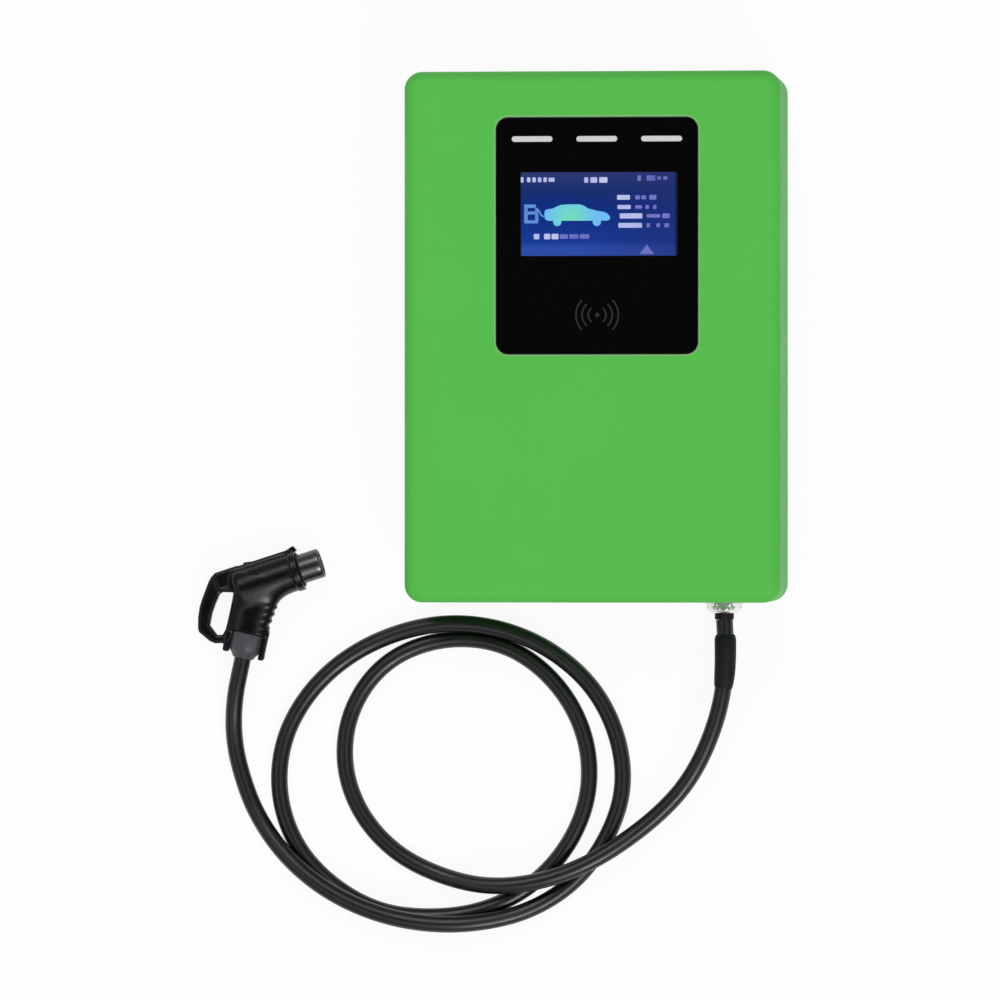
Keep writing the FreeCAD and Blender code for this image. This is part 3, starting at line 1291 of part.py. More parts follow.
def make_contacts():
    """The contact carrier and its five sockets: two for power, one earth, two for signals."""
    face = "(nozzle_length - contact_recess)"
    spots = [(7.5, 7, 2.9), (7.5, -7, 2.9), (-8.5, 0, 2.9), (-2, 11.5, 1.6), (-2, -11.5, 1.6)]
    body = turned("carrier_form", [
        ("-14", "0"), ("-14", "24"), ("-7.1", "24"), ("-7.1", "18.2"), (face, "18.2"), (face, "0"),
    ])
    holes = [rod("contact_hole", f"{r} + 1.4", "80", "-20", str(y), str(z), "x")
             for y, z, r in spots]
    screw = rod("carrier_screw_hole", "1.6", "10", "-10.5", "-3", "17")
    gun_node("contact_carrier", cut("contact_carrier_all", body, *holes, screw))
    sockets = []
    for y, z, r in spots:
        tube = rod("socket_tube", f"{r} + 1.2", f"{face} + 18", "-19.5", str(y), str(z), "x")
        bore = rod("socket_bore", str(r), f"{face} + 12", "-12", str(y), str(z), "x")
        sockets.append(cut("contact_socket", tube, bore))
    gun_node("contact_sockets", group("contact_sockets_all", *sockets))
    shank = rod("nozzle_screw_shank", "1.6", "8.5", "-10.5", "-3", "19.3")
    head = rod("nozzle_screw_head", "3.4", "2", "-10.5", "-3", "27.8")
    drive = prism("nozzle_screw_drive", 6, "2.5", "1.2", "-10.5", "-3", "28.6")
    return gun_node("nozzle_screw", cut("nozzle_screw_all", fuse("nozzle_screw_solid", shank, head),
                                        drive))


def make_lever():
    """The latch lever: a hook over the nozzle, a pad for the thumb and a pivot between them."""
    arm = extruded("lever_arm", [
        ("4", "27.5"), ("4", "31"), ("1", "36.5"), ("-4", "35"), ("-12", "33"), ("-60", "33"),
        ("-75", "35.5"), ("-78", "33"), ("-76", "29.5"), ("-60", "27.5"),
    ], "lever_width")
    boss = rod("lever_boss", "4", "lever_width", LEVER_X, LEVER_Y, "-lever_width / 2")
    bore = rod("lever_bore", "lever_pin + 0.06", "lever_width + 2", LEVER_X, LEVER_Y,
               "-lever_width / 2 - 1")
    relief = rod("lever_relief", "5.2", "6", LEVER_X, LEVER_Y, "2")
    gun_node("latch_lever", cut("latch_lever_all", fuse("lever_solid", arm, boss), bore, relief))
    pin = rod("latch_pin_rod", "lever_pin", "24", LEVER_X, LEVER_Y, "-12")
    gun_node("latch_pin", group("latch_pin_all", pin))
    rings = []
    for number in range(4):
        ring = doc.addObject("Part::Torus", "spring_turn")
        bind(ring, Radius1="3.4", Radius2="0.55")
        rings.append(place(ring, LEVER_X, LEVER_Y, f"2.7 + {number}"))
    legs = [rod("spring_leg", "0.55", reach, f"{LEVER_X} - {reach}",
                f"{LEVER_Y} + 3.4 * {side}", z, "x")
            for side, z, reach in ((-1, "2.7", "9"), (1, "5.7", "3.3"))]
    return gun_node("latch_spring", fuse("latch_spring_all", *rings, *legs))


def make_all():
    make_bracket()
    make_stud_nuts()
    make_chassis()
    make_cover_seal()
    make_front_cover()
    make_cover_screws()
    make_window()
    make_window_tape()
    make_screen()
    make_light_guides()
    make_led_board()
    make_reader_board()
    make_display_carrier()
    make_controller_board()
    make_carrier_screws()
    make_standoffs()
    make_mounting_plate()
    make_plate_screws()
    make_rail("device_rail", "-220", "440", "device_level")
    make_rail("supply_rail", "-220", "100", "225")
    make_rail("terminal_rail", "-220", "150", "terminal_level")
    make_device("surge_arrester", "-180", "36", 2)
    make_breaker()
    make_breaker_toggle()
    make_device("ground_fault_relay", "-55", "36", 2)
    make_contactor()
    make_meter()
    make_terminals()
    make_earth_bar()
    make_control_board()
    make_supply()
    make_current_sensor()
    make_entry_grommet()
    make_breather()
    make_gland()
    make_cable_tail()
    make_sleeve()
    make_cable()
    make_shells()
    make_gun_gland()
    make_nozzle()
    make_contacts()
    make_lever()


def check_and_write():
    """Stops on any faulty object or shape, then writes each finished piece."""
    doc.recompute()
    for item in doc.Objects:
        if "Invalid" in item.State or "Error" in item.State:
            raise RuntimeError(f"{item.Name} is in the state {item.State}")
    os.makedirs("parts", exist_ok=True)
    for item in NODES:
        shape = item.Shape
        if shape.isNull() or not shape.isValid():
            raise RuntimeError(f"{item.Label} has no valid shape")
        shape.exportStep(f"parts/{item.Label}.step")
    print(f"{len(NODES)} pieces written")


make_all()
check_and_write()
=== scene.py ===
"""The looks of a wall-mounted car charging station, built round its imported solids.

Everything is in metres in the frame of the solids: the origin is the middle of the wall bolts,
+X to the right, +Y up the wall, +Z out from it. The station lies on its back on the floor z = 0.
"""

import functools
import itertools
import math

import bmesh
import bpy
import numpy as np
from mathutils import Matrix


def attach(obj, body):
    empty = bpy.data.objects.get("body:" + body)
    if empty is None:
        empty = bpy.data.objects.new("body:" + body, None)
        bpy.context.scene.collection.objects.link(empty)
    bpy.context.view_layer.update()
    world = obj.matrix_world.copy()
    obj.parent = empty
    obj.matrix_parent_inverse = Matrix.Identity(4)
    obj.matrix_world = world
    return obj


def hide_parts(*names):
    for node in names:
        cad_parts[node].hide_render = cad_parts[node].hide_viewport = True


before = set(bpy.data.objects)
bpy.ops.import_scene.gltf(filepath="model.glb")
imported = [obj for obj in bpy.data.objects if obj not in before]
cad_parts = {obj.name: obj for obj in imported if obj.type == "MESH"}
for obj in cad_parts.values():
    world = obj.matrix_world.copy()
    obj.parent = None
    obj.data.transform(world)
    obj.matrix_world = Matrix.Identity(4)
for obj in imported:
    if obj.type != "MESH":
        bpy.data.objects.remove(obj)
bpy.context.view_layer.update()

MM = 0.001
SCENE = bpy.context.scene

# Sizes in millimetres. They are the solids' own, apart from the screen's place, 3 mm further
# right, and the lights' length, 4 mm more, which follow the photograph.
CABINET_WIDTH, CABINET_HEIGHT, CABINET_DEPTH = 550.0, 775.0, 220.0
CABINET_CORNER, FRONT_EDGE, COVER_WALL, SHADOW_GAP = 26.0, 20.0, 3.0, 6.0
WINDOW_X, WINDOW_Y, WINDOW_WIDTH, WINDOW_HEIGHT, WINDOW_CORNER = 8.0, 147.0, 295.0, 345.0, 18.0
SCREEN_X, SCREEN_Y, SCREEN_WIDTH, SCREEN_HEIGHT = 11.0, 178.5, 229.0, 122.0
LIGHT_Y, LIGHT_LENGTH, LIGHT_HEIGHT, LIGHT_PITCH = 287.9, 60.0, 8.5, 94.5
READER_Y = 32.5
COVER_SCREW_PITCH, COVER_SCREW_Z = 250.0, 60.0
GLAND_X, GLAND_Z, GLAND_TOP, GLAND_FLATS = 184.0, 55.0, -384.2, 48.0
GUN_X, GUN_Y, GUN_Z, GUN_TURN = -448.0, -341.0, 31.0, math.radians(18)
# The connector's grip: its root on the nozzle's axis, and the ways down it and to its front
GRIP_ROOT = -64.5
GRIP_DOWN, GRIP_FRONT = (-0.5, -0.8660254), (0.8660254, -0.5)

CAMERA_PLACE, CAMERA_TILT = (0.92477, -0.23785, 12.31498), 5.0
# How bright the sky is in its ring, low down and in its dark middle, and how far each reaches
SKY_RING, SKY_LOW, SKY_MIDDLE = 1.15, 0.41, 0.02
SKY_STEPS = ((92.0, 70.0, SKY_LOW), (46.0, 34.0, SKY_RING - SKY_LOW),
             (25.0, 15.0, SKY_MIDDLE - SKY_RING))
SKY_AXIS = (-0.0872, 0.0, 0.9962)
FLOOR_REACH, FLOOR_GLOW = 30.0, 0.92

# The cable's route, (x, y, z), or (x, y) where it lies on the floor: the solid's own route,
# moved to follow the photograph; in millimetres, and in metres
ROUTE_MM = (
    (184, -414, 55), (188, -476, 53.5), (175, -560, 48.5), (136, -648, 38), (79, -710, 29),
    (-5, -770, 40), (-85, -802, 40.5), (-165, -811.4, 36), (-240, -796, 14), (-307.2, -762.6),
    (-358.2, -707.8), (-384.3, -639.9), (-380.9, -567.8), (-349.2, -504.5), (-297.8, -461.5),
    (-225.1, -441.1), (-151.9, -448.7), (-91.8, -482.8), (-43.5, -539.7), (-18.1, -608.9),
    (-19.9, -683.3), (-50.6, -753.7), (-105.2, -811.9), (-177, -848), (-256, -858),
    (-333.7, -849.2), (-405.2, -809), (-458.7, -749.9), (-483.6, -671.8), (-475.7, -592.4),
    (-438.4, -523.9), (-381.3, -470.4), (-308.2, -434.2, 17.5), (-227.8, -417.8, 25.5),
    (-146.9, -426.8, 25.5), (-73.3, -459.1, 18.5), (-11.6, -513.9), (24.9, -586.3),
    (34.2, -664.1), (9.6, -737.8), (-37.8, -803.2), (-105.9, -847, 18), (-182.2, -865, 34),
    (-257.9, -866.4, 39), (-334.7, -851, 39.5), (-407.5, -817.5, 39.5), (-469.3, -767.5, 30.5),
    (-516.2, -703.5, 15), (-541.2, -633), (-549, -581.9, 16.5), (-545.6, -531, 28.5),
    (-536, -486.1, 31), (-519.7, -409.8, 31),
)
ROUTE = [(x / 1000, y / 1000, (z or [12.7])[0] / 1000) for x, y, *z in ROUTE_MM]
CABLE_RADIUS = 12.5


def put(name, data):
    """A new object in the scene."""
    made = bpy.data.objects.new(name, data)
    SCENE.collection.objects.link(made)
    return made


# Camera and cable


def make_camera():
    """The photograph's view: straight down on the station, 5 degrees from its right."""
    lens = bpy.data.cameras.new("camera")
    lens.lens = 300.0
    lens.sensor_width = 36.0
    lens.clip_end = 40.0
    camera = put("camera", lens)
    camera.location = CAMERA_PLACE
    camera.rotation_euler = (0.0, math.radians(CAMERA_TILT), 0.0)
    SCENE.camera = camera


def make_cable():
    """A round cable along one smooth spline whose control points are the route.

    Each point's own radius is the cable's and the bevel is 1, because a curve's box is as much
    larger than its points as their radius says.
    """
    data = bpy.data.curves.new("charging_cable_jacket", "CURVE")
    data.dimensions = "3D"
    data.bevel_depth = 1.0
    data.bevel_resolution = 8
    data.use_fill_caps = True
    spline = data.splines.new("NURBS")
    spline.points.add(len(ROUTE) - 1)
    for point, place in zip(spline.points, ROUTE):
        point.co = (*place, 1.0)
        point.radius = CABLE_RADIUS * MM
    spline.order_u = 3
    spline.use_endpoint_u = True
    spline.resolution_u = 10
    cable = put("charging_cable_jacket", data)
    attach(cable, "station")
    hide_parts("charging_cable")
    return cable


# Meshes


def new_piece(name, points, faces):
    """A closed mesh from points in millimetres, with its faces outwards."""
    mesh = bpy.data.meshes.new(name)
    mesh.from_pydata((np.asarray(points, float) * MM).tolist(), [], faces)
    tidy_mesh(mesh)
    return add_piece(name, mesh)


def add_piece(name, mesh, body="station"):
    piece = put(name, mesh)
    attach(piece, body)
    return piece


def tidy_mesh(mesh, sharp=35.0, outwards=True):
    """Merges doubles, turns faces outwards, and marks edges over the sharp angle."""
    work = bmesh.new()
    work.from_mesh(mesh)
    bmesh.ops.remove_doubles(work, verts=work.verts, dist=1e-6)
    if outwards:
        bmesh.ops.recalc_face_normals(work, faces=work.faces)
    work.to_mesh(mesh)
    work.free()
    mesh.shade_smooth()
    mesh.set_sharp_from_angle(angle=math.radians(sharp))


def grid_faces(rows, columns, close_rows=False, start=0):
    """Four-sided faces over a grid of closed rows, whose last row may join the first."""
    row = np.arange(rows if close_rows else rows - 1)
    a, b = np.meshgrid(row, np.arange(columns), indexing="ij")
    a, b = a.ravel(), b.ravel()
    a2, b2 = (a + 1) % rows, (b + 1) % columns
    corners = (a * columns + b, a * columns + b2, a2 * columns + b2, a2 * columns + b)
    return (np.stack(corners, axis=1) + start).tolist()


def rounded_outline(width, height, corner, x=0.0, y=0.0, arc=12, side=8):
    """A rectangle with quarter-circle corners, as equally many points for any size."""
    reach = np.array([width / 2 - corner, height / 2 - corner])
    rings, pieces = [], []
    for number, middle in enumerate(((1, -1), (1, 1), (-1, 1), (-1, -1))):
        angle = np.linspace(0.0, math.pi / 2, arc + 1) + (number - 1) * math.pi / 2
        rings.append(reach * middle + corner * np.stack([np.cos(angle), np.sin(angle)], axis=1))
    share = np.linspace(0.0, 1.0, side + 1)[1:-1, None]
    for ring, after in zip(rings, rings[1:] + rings[:1]):
        pieces += [ring, ring[-1] * (1 - share) + after[0] * share]
    return np.concatenate(pieces) + np.array([x, y])


def swept_panel(name, rows, caps=True, side=8):
    """A profile carried round a rounded rectangle.

    Each row is (width, height, corner, x, y, z): the profile's point drawn out into an outline.
    With caps the first and last outlines are filled, and otherwise they join each other.
    """
    outlines = [rounded_outline(*row[:5], side=side) for row in rows]
    levels = [np.full((len(outlines[0]), 1), row[5]) for row in rows]
    points = np.concatenate([np.hstack(pair) for pair in zip(outlines, levels)])
    faces = grid_faces(len(rows), len(outlines[0]), close_rows=not caps)
    if caps:
        faces += end_caps(len(rows), len(outlines[0]))
    return new_piece(name, points, faces)


def end_caps(rows, columns):
    """The first and the last row of a grid of points, each filled by one face."""
    last = (rows - 1) * columns
    return [list(range(columns)), list(range(last, last + columns))]


def turned_piece(name, profile, place, closed=True, flats=0.0, sides=6, around=96):
    """A profile of (x, radius) turned about x, then set in its place by a function from local
    to frame millimetres.

    With flats the radius at each angle is no more than the distance to a regular prism's sides,
    which chamfers the prism's corners. The profile is closed round on itself, or else has a
    flat cap at each end.
    """
    profile = np.asarray(profile, float)
    angle = np.linspace(0.0, 2 * math.pi, around, endpoint=False)
    radius = np.repeat(profile[:, 1:2], around, axis=1)
    if flats:
        step = 2 * math.pi / sides
        within = angle % step - step / 2
        radius = np.minimum(radius, flats / 2 / np.cos(within)[None, :])
    along = np.repeat(profile[:, :1], around, axis=1)
    points = np.stack([along, radius * np.cos(angle), radius * np.sin(angle)], axis=2)
    faces = grid_faces(len(profile), around, close_rows=closed)
    if not closed:
        faces += end_caps(len(profile), around)
    return new_piece(name, place(points.reshape(-1, 3)), faces)


def on_gun(points):
    """From the connector's own frame, x along its nozzle, to the whole frame."""
    c, s = math.cos(GUN_TURN), math.sin(GUN_TURN)
    x, y, z = np.moveaxis(points, -1, 0)
    return np.stack([GUN_X + c * x - s * y, GUN_Y + s * x + c * y, GUN_Z + z], axis=-1)


def on_grip(points):
    """From the grip's frame, x down the grip and y to its front, to the whole frame."""
    flat = points[..., :1] * np.array(GRIP_DOWN) + points[..., 1:2] * np.array(GRIP_FRONT)
    flat = flat + np.array([GRIP_ROOT, 0.0])
    return on_gun(np.concatenate([flat, points[..., 2:3]], axis=-1))


def on_gland(points):
    """From the cable gland's frame, x down out of the cabinet, to the whole frame."""
    x, y, z = np.moveaxis(points, -1, 0)
    return np.stack([GLAND_X + y, GLAND_TOP - x, GLAND_Z + z], axis=-1)


def carve(piece, *cutters):
    """Cuts each cutter out of a piece and keeps the result as the piece's own mesh.

    Its faces that lie square to Z are shaded as truly flat ones.
    """
    for cutter in cutters:
        tool = piece.modifiers.new("carve", "BOOLEAN")
        tool.operation = "DIFFERENCE"
        tool.solver = "EXACT"
        tool.object = cutter
    bpy.context.view_layer.update()
    graph = bpy.context.evaluated_depsgraph_get()
    mesh = bpy.data.meshes.new_from_object(piece.evaluated_get(graph))
    piece.modifiers.clear()
    old = piece.data
    piece.data = mesh
    bpy.data.meshes.remove(old)
    for cutter in cutters:
        bpy.data.objects.remove(cutter)
    tidy_mesh(mesh, outwards=False)
    normals = np.empty(len(mesh.polygons) * 3, np.float32)
    mesh.polygons.foreach_get("normal", normals)
    mesh.polygons.foreach_set("use_smooth", np.abs(normals[2::3]) < 0.99995)


def smoothed(node, name, body="station"):
    """A merged copy of a solid whose round faces shade smoothly, which stands for the solid."""
    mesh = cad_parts[node].data.copy()
    mesh.name = name
    tidy_mesh(mesh, 30.0)
    piece = add_piece(name, mesh, body)
    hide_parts(node)
    return piece


def dress(piece, look, *nodes):
    """Gives a piece its material and hides the nodes it stands for."""
    piece.data.materials.clear()
    piece.data.materials.append(looks[look])
    if nodes:
        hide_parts(*nodes)
    return piece


# Materials


def tint(red, green, blue):
    """A colour as it appears on a screen, 0 to 255, as the shader's own numbers."""
    shown = np.array([red, green, blue]) / 255.0
    linear = np.where(shown <= 0.04045, shown / 12.92, ((shown + 0.055) / 1.055) ** 2.4)
    return (*linear.tolist(), 1.0)


def join(tree, value, socket):
    """Links another node's output to a socket, or gives the socket a plain value."""
    if hasattr(value, "is_output"):
        tree.links.new(value, socket)
    else:
        socket.default_value = value


def add_node(tree, kind, settings=None, **inputs):
    """A new node with its settings and its inputs by name, where _ stands for a space."""
    made = tree.nodes.new(kind)
    for key, value in (settings or {}).items():
        setattr(made, key, value)
    for key, value in inputs.items():
        join(tree, value, made.inputs[key.replace("_", " ")])
    return made


def calculate(tree, kind, operation, *values):
    """A node that works out something from numbers or from other nodes' outputs."""
    made = add_node(tree, kind, {"operation": operation})
    for socket, value in zip(made.inputs, values):
        join(tree, value, socket)
    return made


class Finish:
    """A material under construction, with short ways to add nodes and join them."""

    def __init__(self, name, colour, roughness, metal=0.0, level=0.5):
        self.material = bpy.data.materials.new(name)
        self.material.use_nodes = True
        self.tree = self.material.node_tree
        self.shader = self.tree.nodes["Principled BSDF"]
        self.colour = tint(*colour)
        for key, value in (("Base Color", self.colour), ("Roughness", roughness),
                           ("Metallic", metal), ("Specular IOR Level", level)):
            self.shader.inputs[key].default_value = value
        self.place = self.node("ShaderNodeTexCoord").outputs["Object"]

    def node(self, kind, settings=None, **inputs):
        return add_node(self.tree, kind, settings, **inputs)

    def feed(self, socket, output):
        self.tree.links.new(output, self.shader.inputs[socket])

    def noise(self, scale, detail=3.0, place=None):
        return self.node("ShaderNodeTexNoise", Vector=place or self.place, Scale=scale,
                         Detail=detail).outputs["Fac"]

    def spread(self, value, low=0.0, high=1.0, start=0.3, end=0.7):
        """Maps a value from start..end to low..high."""
        return self.node("ShaderNodeMapRange", Value=value, From_Min=start, From_Max=end,
                         To_Min=low, To_Max=high).outputs["Result"]

    def blend(self, share, first, second):
        """A mix of two colours, each a colour's numbers or another node's output."""
        made = self.node("ShaderNodeMix", {"data_type": "RGBA"})
        for socket, value in ((0, share), (6, first), (7, second)):
            join(self.tree, value, made.inputs[socket])
        return made.outputs[2]

    def mottle(self, scale, depth):
        """Varies the colour softly towards a darker one."""
        darker = tuple(c * (1 - depth) for c in self.colour[:3]) + (1.0,)
        self.feed("Base Color", self.blend(self.spread(self.noise(scale)), self.colour, darker))

    def vary_roughness(self, scale, low, high, place=None):
        self.feed("Roughness", self.spread(self.noise(scale, 4.0, place), low, high))

    def bump(self, height, depth, strength):
        """Adds a height in metres to the surface's shading."""
        made = self.node("ShaderNodeBump", Height=height, Strength=strength, Distance=depth)
        self.feed("Normal", made.outputs["Normal"])

    def shine(self, colour):
        """Lets the surface give off a colour by itself, as a lit screen does."""
        self.feed("Emission Color", colour)
        self.shader.inputs["Emission Strength"].default_value = 1.0


# Plain finishes by look: the material's name, colour, roughness and level of reflection, then,
# where it has them, the scale and depth of its mottling, the scale, least and most of its varied
# roughness, and the scale, height and strength of its grain
PLAIN_FINISHES = {
    "green": ("green_cover", (83, 188, 72), 0.55, 0.25, (3, 0.03), (9, 0.50, 0.60),
              (900, 0.00002, 0.35)),
    "window": ("window_black", (6, 7, 6), 0.06, 0.25, None, (14, 0.04, 0.08)),
    # The cover's green made paler for the small round at the window's recess: a painted highlight,
    # light catching the rim
    "edge": ("recess_rim_painted_highlight", (136, 190, 128), 0.45, 0.2, (200, 0.06)),
    "opal": ("opal", (210, 212, 212), 0.30, 0.3, (60, 0.03)),
    "rubber": ("black_rubber", (16, 17, 17), 0.62, 0.25, (70, 0.25), (120, 0.52, 0.70),
               (1500, 0.00004, 0.5)),
    "jacket": ("cable_jacket", (8, 9, 10), 0.34, 0.5, (40, 0.25), (60, 0.31, 0.38),
               (1200, 0.00003, 0.5)),
    "gun": ("gun_black", (6, 6, 7), 0.27, 0.3, (30, 0.2), (45, 0.24, 0.30)),
    "nozzle": ("nozzle_black", (12, 12, 13), 0.27, 1.0, (50, 0.2), (80, 0.25, 0.31)),
    "grey": ("gland_grey", (72, 72, 79), 0.50, 0.3, (40, 0.12), (50, 0.38, 0.5),
             (1300, 0.00003, 0.4)),
    "nickel": ("nickel", (246, 246, 245), 0.28, 0.5, (25, 0.05)),
    "zinc": ("zinc_steel", (176, 180, 184), 0.38, 0.5),
    "paint": ("chassis_paint", (172, 174, 176), 0.48, 0.5, (4, 0.03), None,
              (700, 0.00005, 0.5)),
    "board": ("circuit_board", (28, 92, 58), 0.42, 0.5),
    "device": ("device_grey", (190, 191, 190), 0.44, 0.5, (20, 0.05), None,
               (900, 0.00003, 0.4)),
    "carrier": ("carrier_grey", (78, 79, 82), 0.55, 0.5, (20, 0.1)),
    "black": ("fitting_black", (26, 26, 27), 0.48, 0.5, (50, 0.2), (60, 0.42, 0.56)),
    "oxide": ("screw_oxide", (52, 52, 55), 0.36, 0.5, (80, 0.2), (120, 0.30, 0.44)),
    "brass": ("brass", (214, 178, 96), 0.30, 0.5, (60, 0.12), (150, 0.24, 0.38)),
    "print": ("window_print", (44, 46, 46), 0.35, 0.25, (200, 0.1)),
}
METALS = ("nickel", "zinc", "oxide", "brass")
# The lit looks are the screen's
# Lit signs by look: the material's name, the scale of its change, and its two colours
LIT_SIGNS = {
    "sign": ("screen_sign", 30.0, (168, 176, 228), (196, 200, 240)),
    "dim_sign": ("screen_sign_dim", 30.0, (88, 98, 178), (118, 122, 200)),
    "lead": ("screen_charger", 60.0, (86, 132, 204), (100, 156, 222)),
}
SIGN_BASE, SIGN_ROUGHNESS = (20, 22, 30), 0.2


def make_materials():
    """The finishes of both tables, and what some of them have besides."""
    made = {}
    for look, (name, colour, roughness, level, *more) in PLAIN_FINISHES.items():
        finish = made[look] = Finish(name, colour, roughness, float(look in METALS), level)
        spots, change, grain = (*more, None, None, None)[:3]
        if spots:
            finish.mottle(*spots)
        if change:
            finish.vary_roughness(*change)
        if grain:
            scale, height, strength = grain
            finish.bump(finish.noise(scale, 2.0), height, strength)
    gun, nickel, zinc, board = (made[look] for look in ("gun", "nickel", "zinc", "board"))
    cells = gun.node("ShaderNodeTexVoronoi", Vector=gun.place, Scale=1400.0)
    gun.bump(cells.outputs["Distance"], 0.00004, 0.4)
    drawn = nickel.node("ShaderNodeMapping", Vector=nickel.place, Scale=(1.0, 9.0, 1.0))
    nickel.vary_roughness(160.0, 0.24, 0.34, drawn.outputs["Vector"])
    flakes = zinc.node("ShaderNodeTexVoronoi", Vector=zinc.place, Scale=90.0)
    zinc.feed("Base Color", zinc.blend(flakes.outputs["Color"], tint(160, 164, 168),
                                       tint(190, 193, 196)))
    zinc.feed("Roughness", zinc.spread(flakes.outputs["Distance"], 0.30, 0.46, 0.0, 0.8))
    tracks = board.node("ShaderNodeTexBrick", Vector=board.place, Scale=120.0)
    board.feed("Base Color", board.blend(tracks.outputs["Fac"], tint(26, 88, 55),
                                         tint(46, 118, 74)))
    for look, (name, scale, first, second) in LIT_SIGNS.items():
        lit = made[look] = Finish(name, SIGN_BASE, SIGN_ROUGHNESS)
        lit.shine(lit.blend(lit.spread(lit.noise(scale)), tint(*first), tint(*second)))
    made["aqua"] = make_picture_finish()
    made["screen"] = make_screen_finish()
    return {look: finish.material for look, finish in made.items()}


def make_picture_finish():
    """The lit car: green in its middle, and blue away from it."""
    aqua = Finish("screen_picture", SIGN_BASE, SIGN_ROUGHNESS)
    middle = (WINDOW_X * MM - 0.038, SCREEN_Y * MM - 0.006, CABINET_DEPTH * MM)
    away = calculate(aqua.tree, "ShaderNodeVectorMath", "DISTANCE", aqua.place, middle)
    share = aqua.spread(away.outputs["Value"], 0.0, 1.0, 0.006, 0.040)
    aqua.shine(aqua.blend(share, tint(110, 218, 190), tint(108, 184, 244)))
    return aqua


# The lit screen's colours from its foot, 0, to its top, 1
SCREEN_COLOURS = ((0.0, (46, 72, 160)), (0.10, (40, 74, 166)), (0.17, (21, 56, 146)),
                  (0.40, (14, 48, 134)), (0.62, (12, 42, 122)), (0.80, (24, 47, 108)),
                  (1.0, (44, 56, 112)))


def make_screen_finish():
    """The lit screen: a blue that pales towards the top and the foot, darker to the right."""
    screen = Finish("lit_screen", (4, 6, 18), 0.12)
    parts = screen.node("ShaderNodeSeparateXYZ", Vector=screen.place)
    low, high = ((SCREEN_Y + side * SCREEN_HEIGHT / 2) * MM for side in (-1, 1))
    left, right = ((SCREEN_X + side * SCREEN_WIDTH / 2) * MM for side in (-1, 1))
    up = screen.spread(parts.outputs["Y"], 0.0, 1.0, low, high)
    colours = screen.node("ShaderNodeValToRGB", Fac=up)
    stops = colours.color_ramp.elements
    while len(stops) < len(SCREEN_COLOURS):
        stops.new(0.5)
    for stop, (place, colour) in zip(stops, SCREEN_COLOURS):
        stop.position = place
        stop.color = tint(*colour)
    across = screen.spread(parts.outputs["X"], 0.0, 0.6, left + 0.4 * (right - left), right)
    shade = screen.blend(across, colours.outputs["Color"], tint(33, 44, 108))
    for start, end in ((left + 0.002, left + 0.0005), (right - 0.005, right - 0.001)):
        share = screen.spread(parts.outputs["X"], 0.0, 1.0, start, end)
        shade = screen.blend(share, shade, tint(22, 27, 56))
    screen.shine(shade)
    return screen


# Cabinet


def panel_rows(width, height, corner, x, y, profile):
    """Rows for swept_panel: the profile is pairs of (inset from the outline, z)."""
    return [(width - 2 * inset, height - 2 * inset, max(corner - inset, 0.4), x, y, z)
            for inset, z in profile]


def capsule_slab(name, width, height, corner, x, y, low, high, edge=0.0):
    """A flat slab with rounded corners and an optional small round on its top edge."""
    profile = [(0.0, low), (0.0, high - edge)]
    if edge:
        profile += [(edge * (1 - math.cos(a)), high - edge * (1 - math.sin(a)))
                    for a in np.linspace(0, math.pi / 2, 4)[1:]]
    return swept_panel(name, panel_rows(width, height, corner, x, y, profile))


def round_edge(inset, z, radius, angles):
    """Points of a profile round a quarter circle, upright at angle 0 and level at pi / 2."""
    return [(inset + radius * (1 - math.cos(a)), z + radius * math.sin(a)) for a in angles]


def make_cover():
    """The moulded cover: one profile from its rear edge over the front to the window's ledge.

    The outer profile rises straight, turns in a quarter circle of the front edge's radius, runs
    flat to the window's recess, drops over a small round to the ledge, and comes back
    along the inside, so that the whole wall is one closed skin. The small round is coloured a
    paler green than the rest of the cover: a painted highlight.
    """
    cabinet = (CABINET_WIDTH, CABINET_HEIGHT, CABINET_CORNER, 0, 0)
    depth, edge, wall = CABINET_DEPTH, FRONT_EDGE, COVER_WALL
    rim, ledge, ledge_top, ledge_foot, inset = 2.6, 8.0, depth - 4.0, depth - 7.0, 3.0
    outer = [(0.8, SHADOW_GAP), (0.0, SHADOW_GAP + 0.8)]
    outer += [(0.0, z) for z in np.linspace(40.0, depth - edge, 6)]
    outer += round_edge(0.0, depth - edge, edge, np.linspace(0, math.pi / 2, 17)[1:])
    rows = panel_rows(*cabinet, outer)
    start = rows[-1] = (CABINET_WIDTH - 2 * edge, CABINET_HEIGHT - 2 * edge,
                        CABINET_CORNER - edge, 0, 0, depth)
    window = (WINDOW_WIDTH, WINDOW_HEIGHT, WINDOW_CORNER, WINDOW_X, WINDOW_Y)
    end = (window[0] + 2 * rim, window[1] + 2 * rim, window[2] + rim, *window[3:], depth)
    rows += [tuple(a * (1 - share) + b * share for a, b in zip(start, end))
             for share in np.linspace(0.0, 1.0, 7)[1:-1]] + [end]
    inner = [(-rim * (1 - math.sin(a)), depth - rim * (1 - math.cos(a)))
             for a in np.linspace(0, math.pi / 2, 7)[1:]]
    inner += [(0.0, ledge_top), (ledge, ledge_top), (ledge, ledge_foot), (-inset, ledge_foot),
              (-inset, depth - wall)]
    rows += panel_rows(*window, inner)
    back = round_edge(wall, depth - edge, edge - wall, np.linspace(math.pi / 2, 0, 7))
    rows += panel_rows(*cabinet, back + [(wall, 60.0), (wall, SHADOW_GAP)])
    cover = swept_panel("cabinet_cover", rows, caps=False, side=10)
    carve(cover, *screw_cutters(), gland_cutter())
    dress(cover, "green", "front_cover")
    # The small round at the window's recess gets the paler green: a painted highlight on the same
    # moulding
    cover.data.materials.append(looks["edge"])
    for face in cover.data.polygons:
        beyond = max(abs(face.center.x / MM - WINDOW_X) - WINDOW_WIDTH / 2,
                     abs(face.center.y / MM - WINDOW_Y) - WINDOW_HEIGHT / 2)
        if (0.1 < face.normal.z < 0.995 and -WINDOW_CORNER < beyond < rim
                and face.center.z > (depth - rim) * MM):
            face.material_index = 1


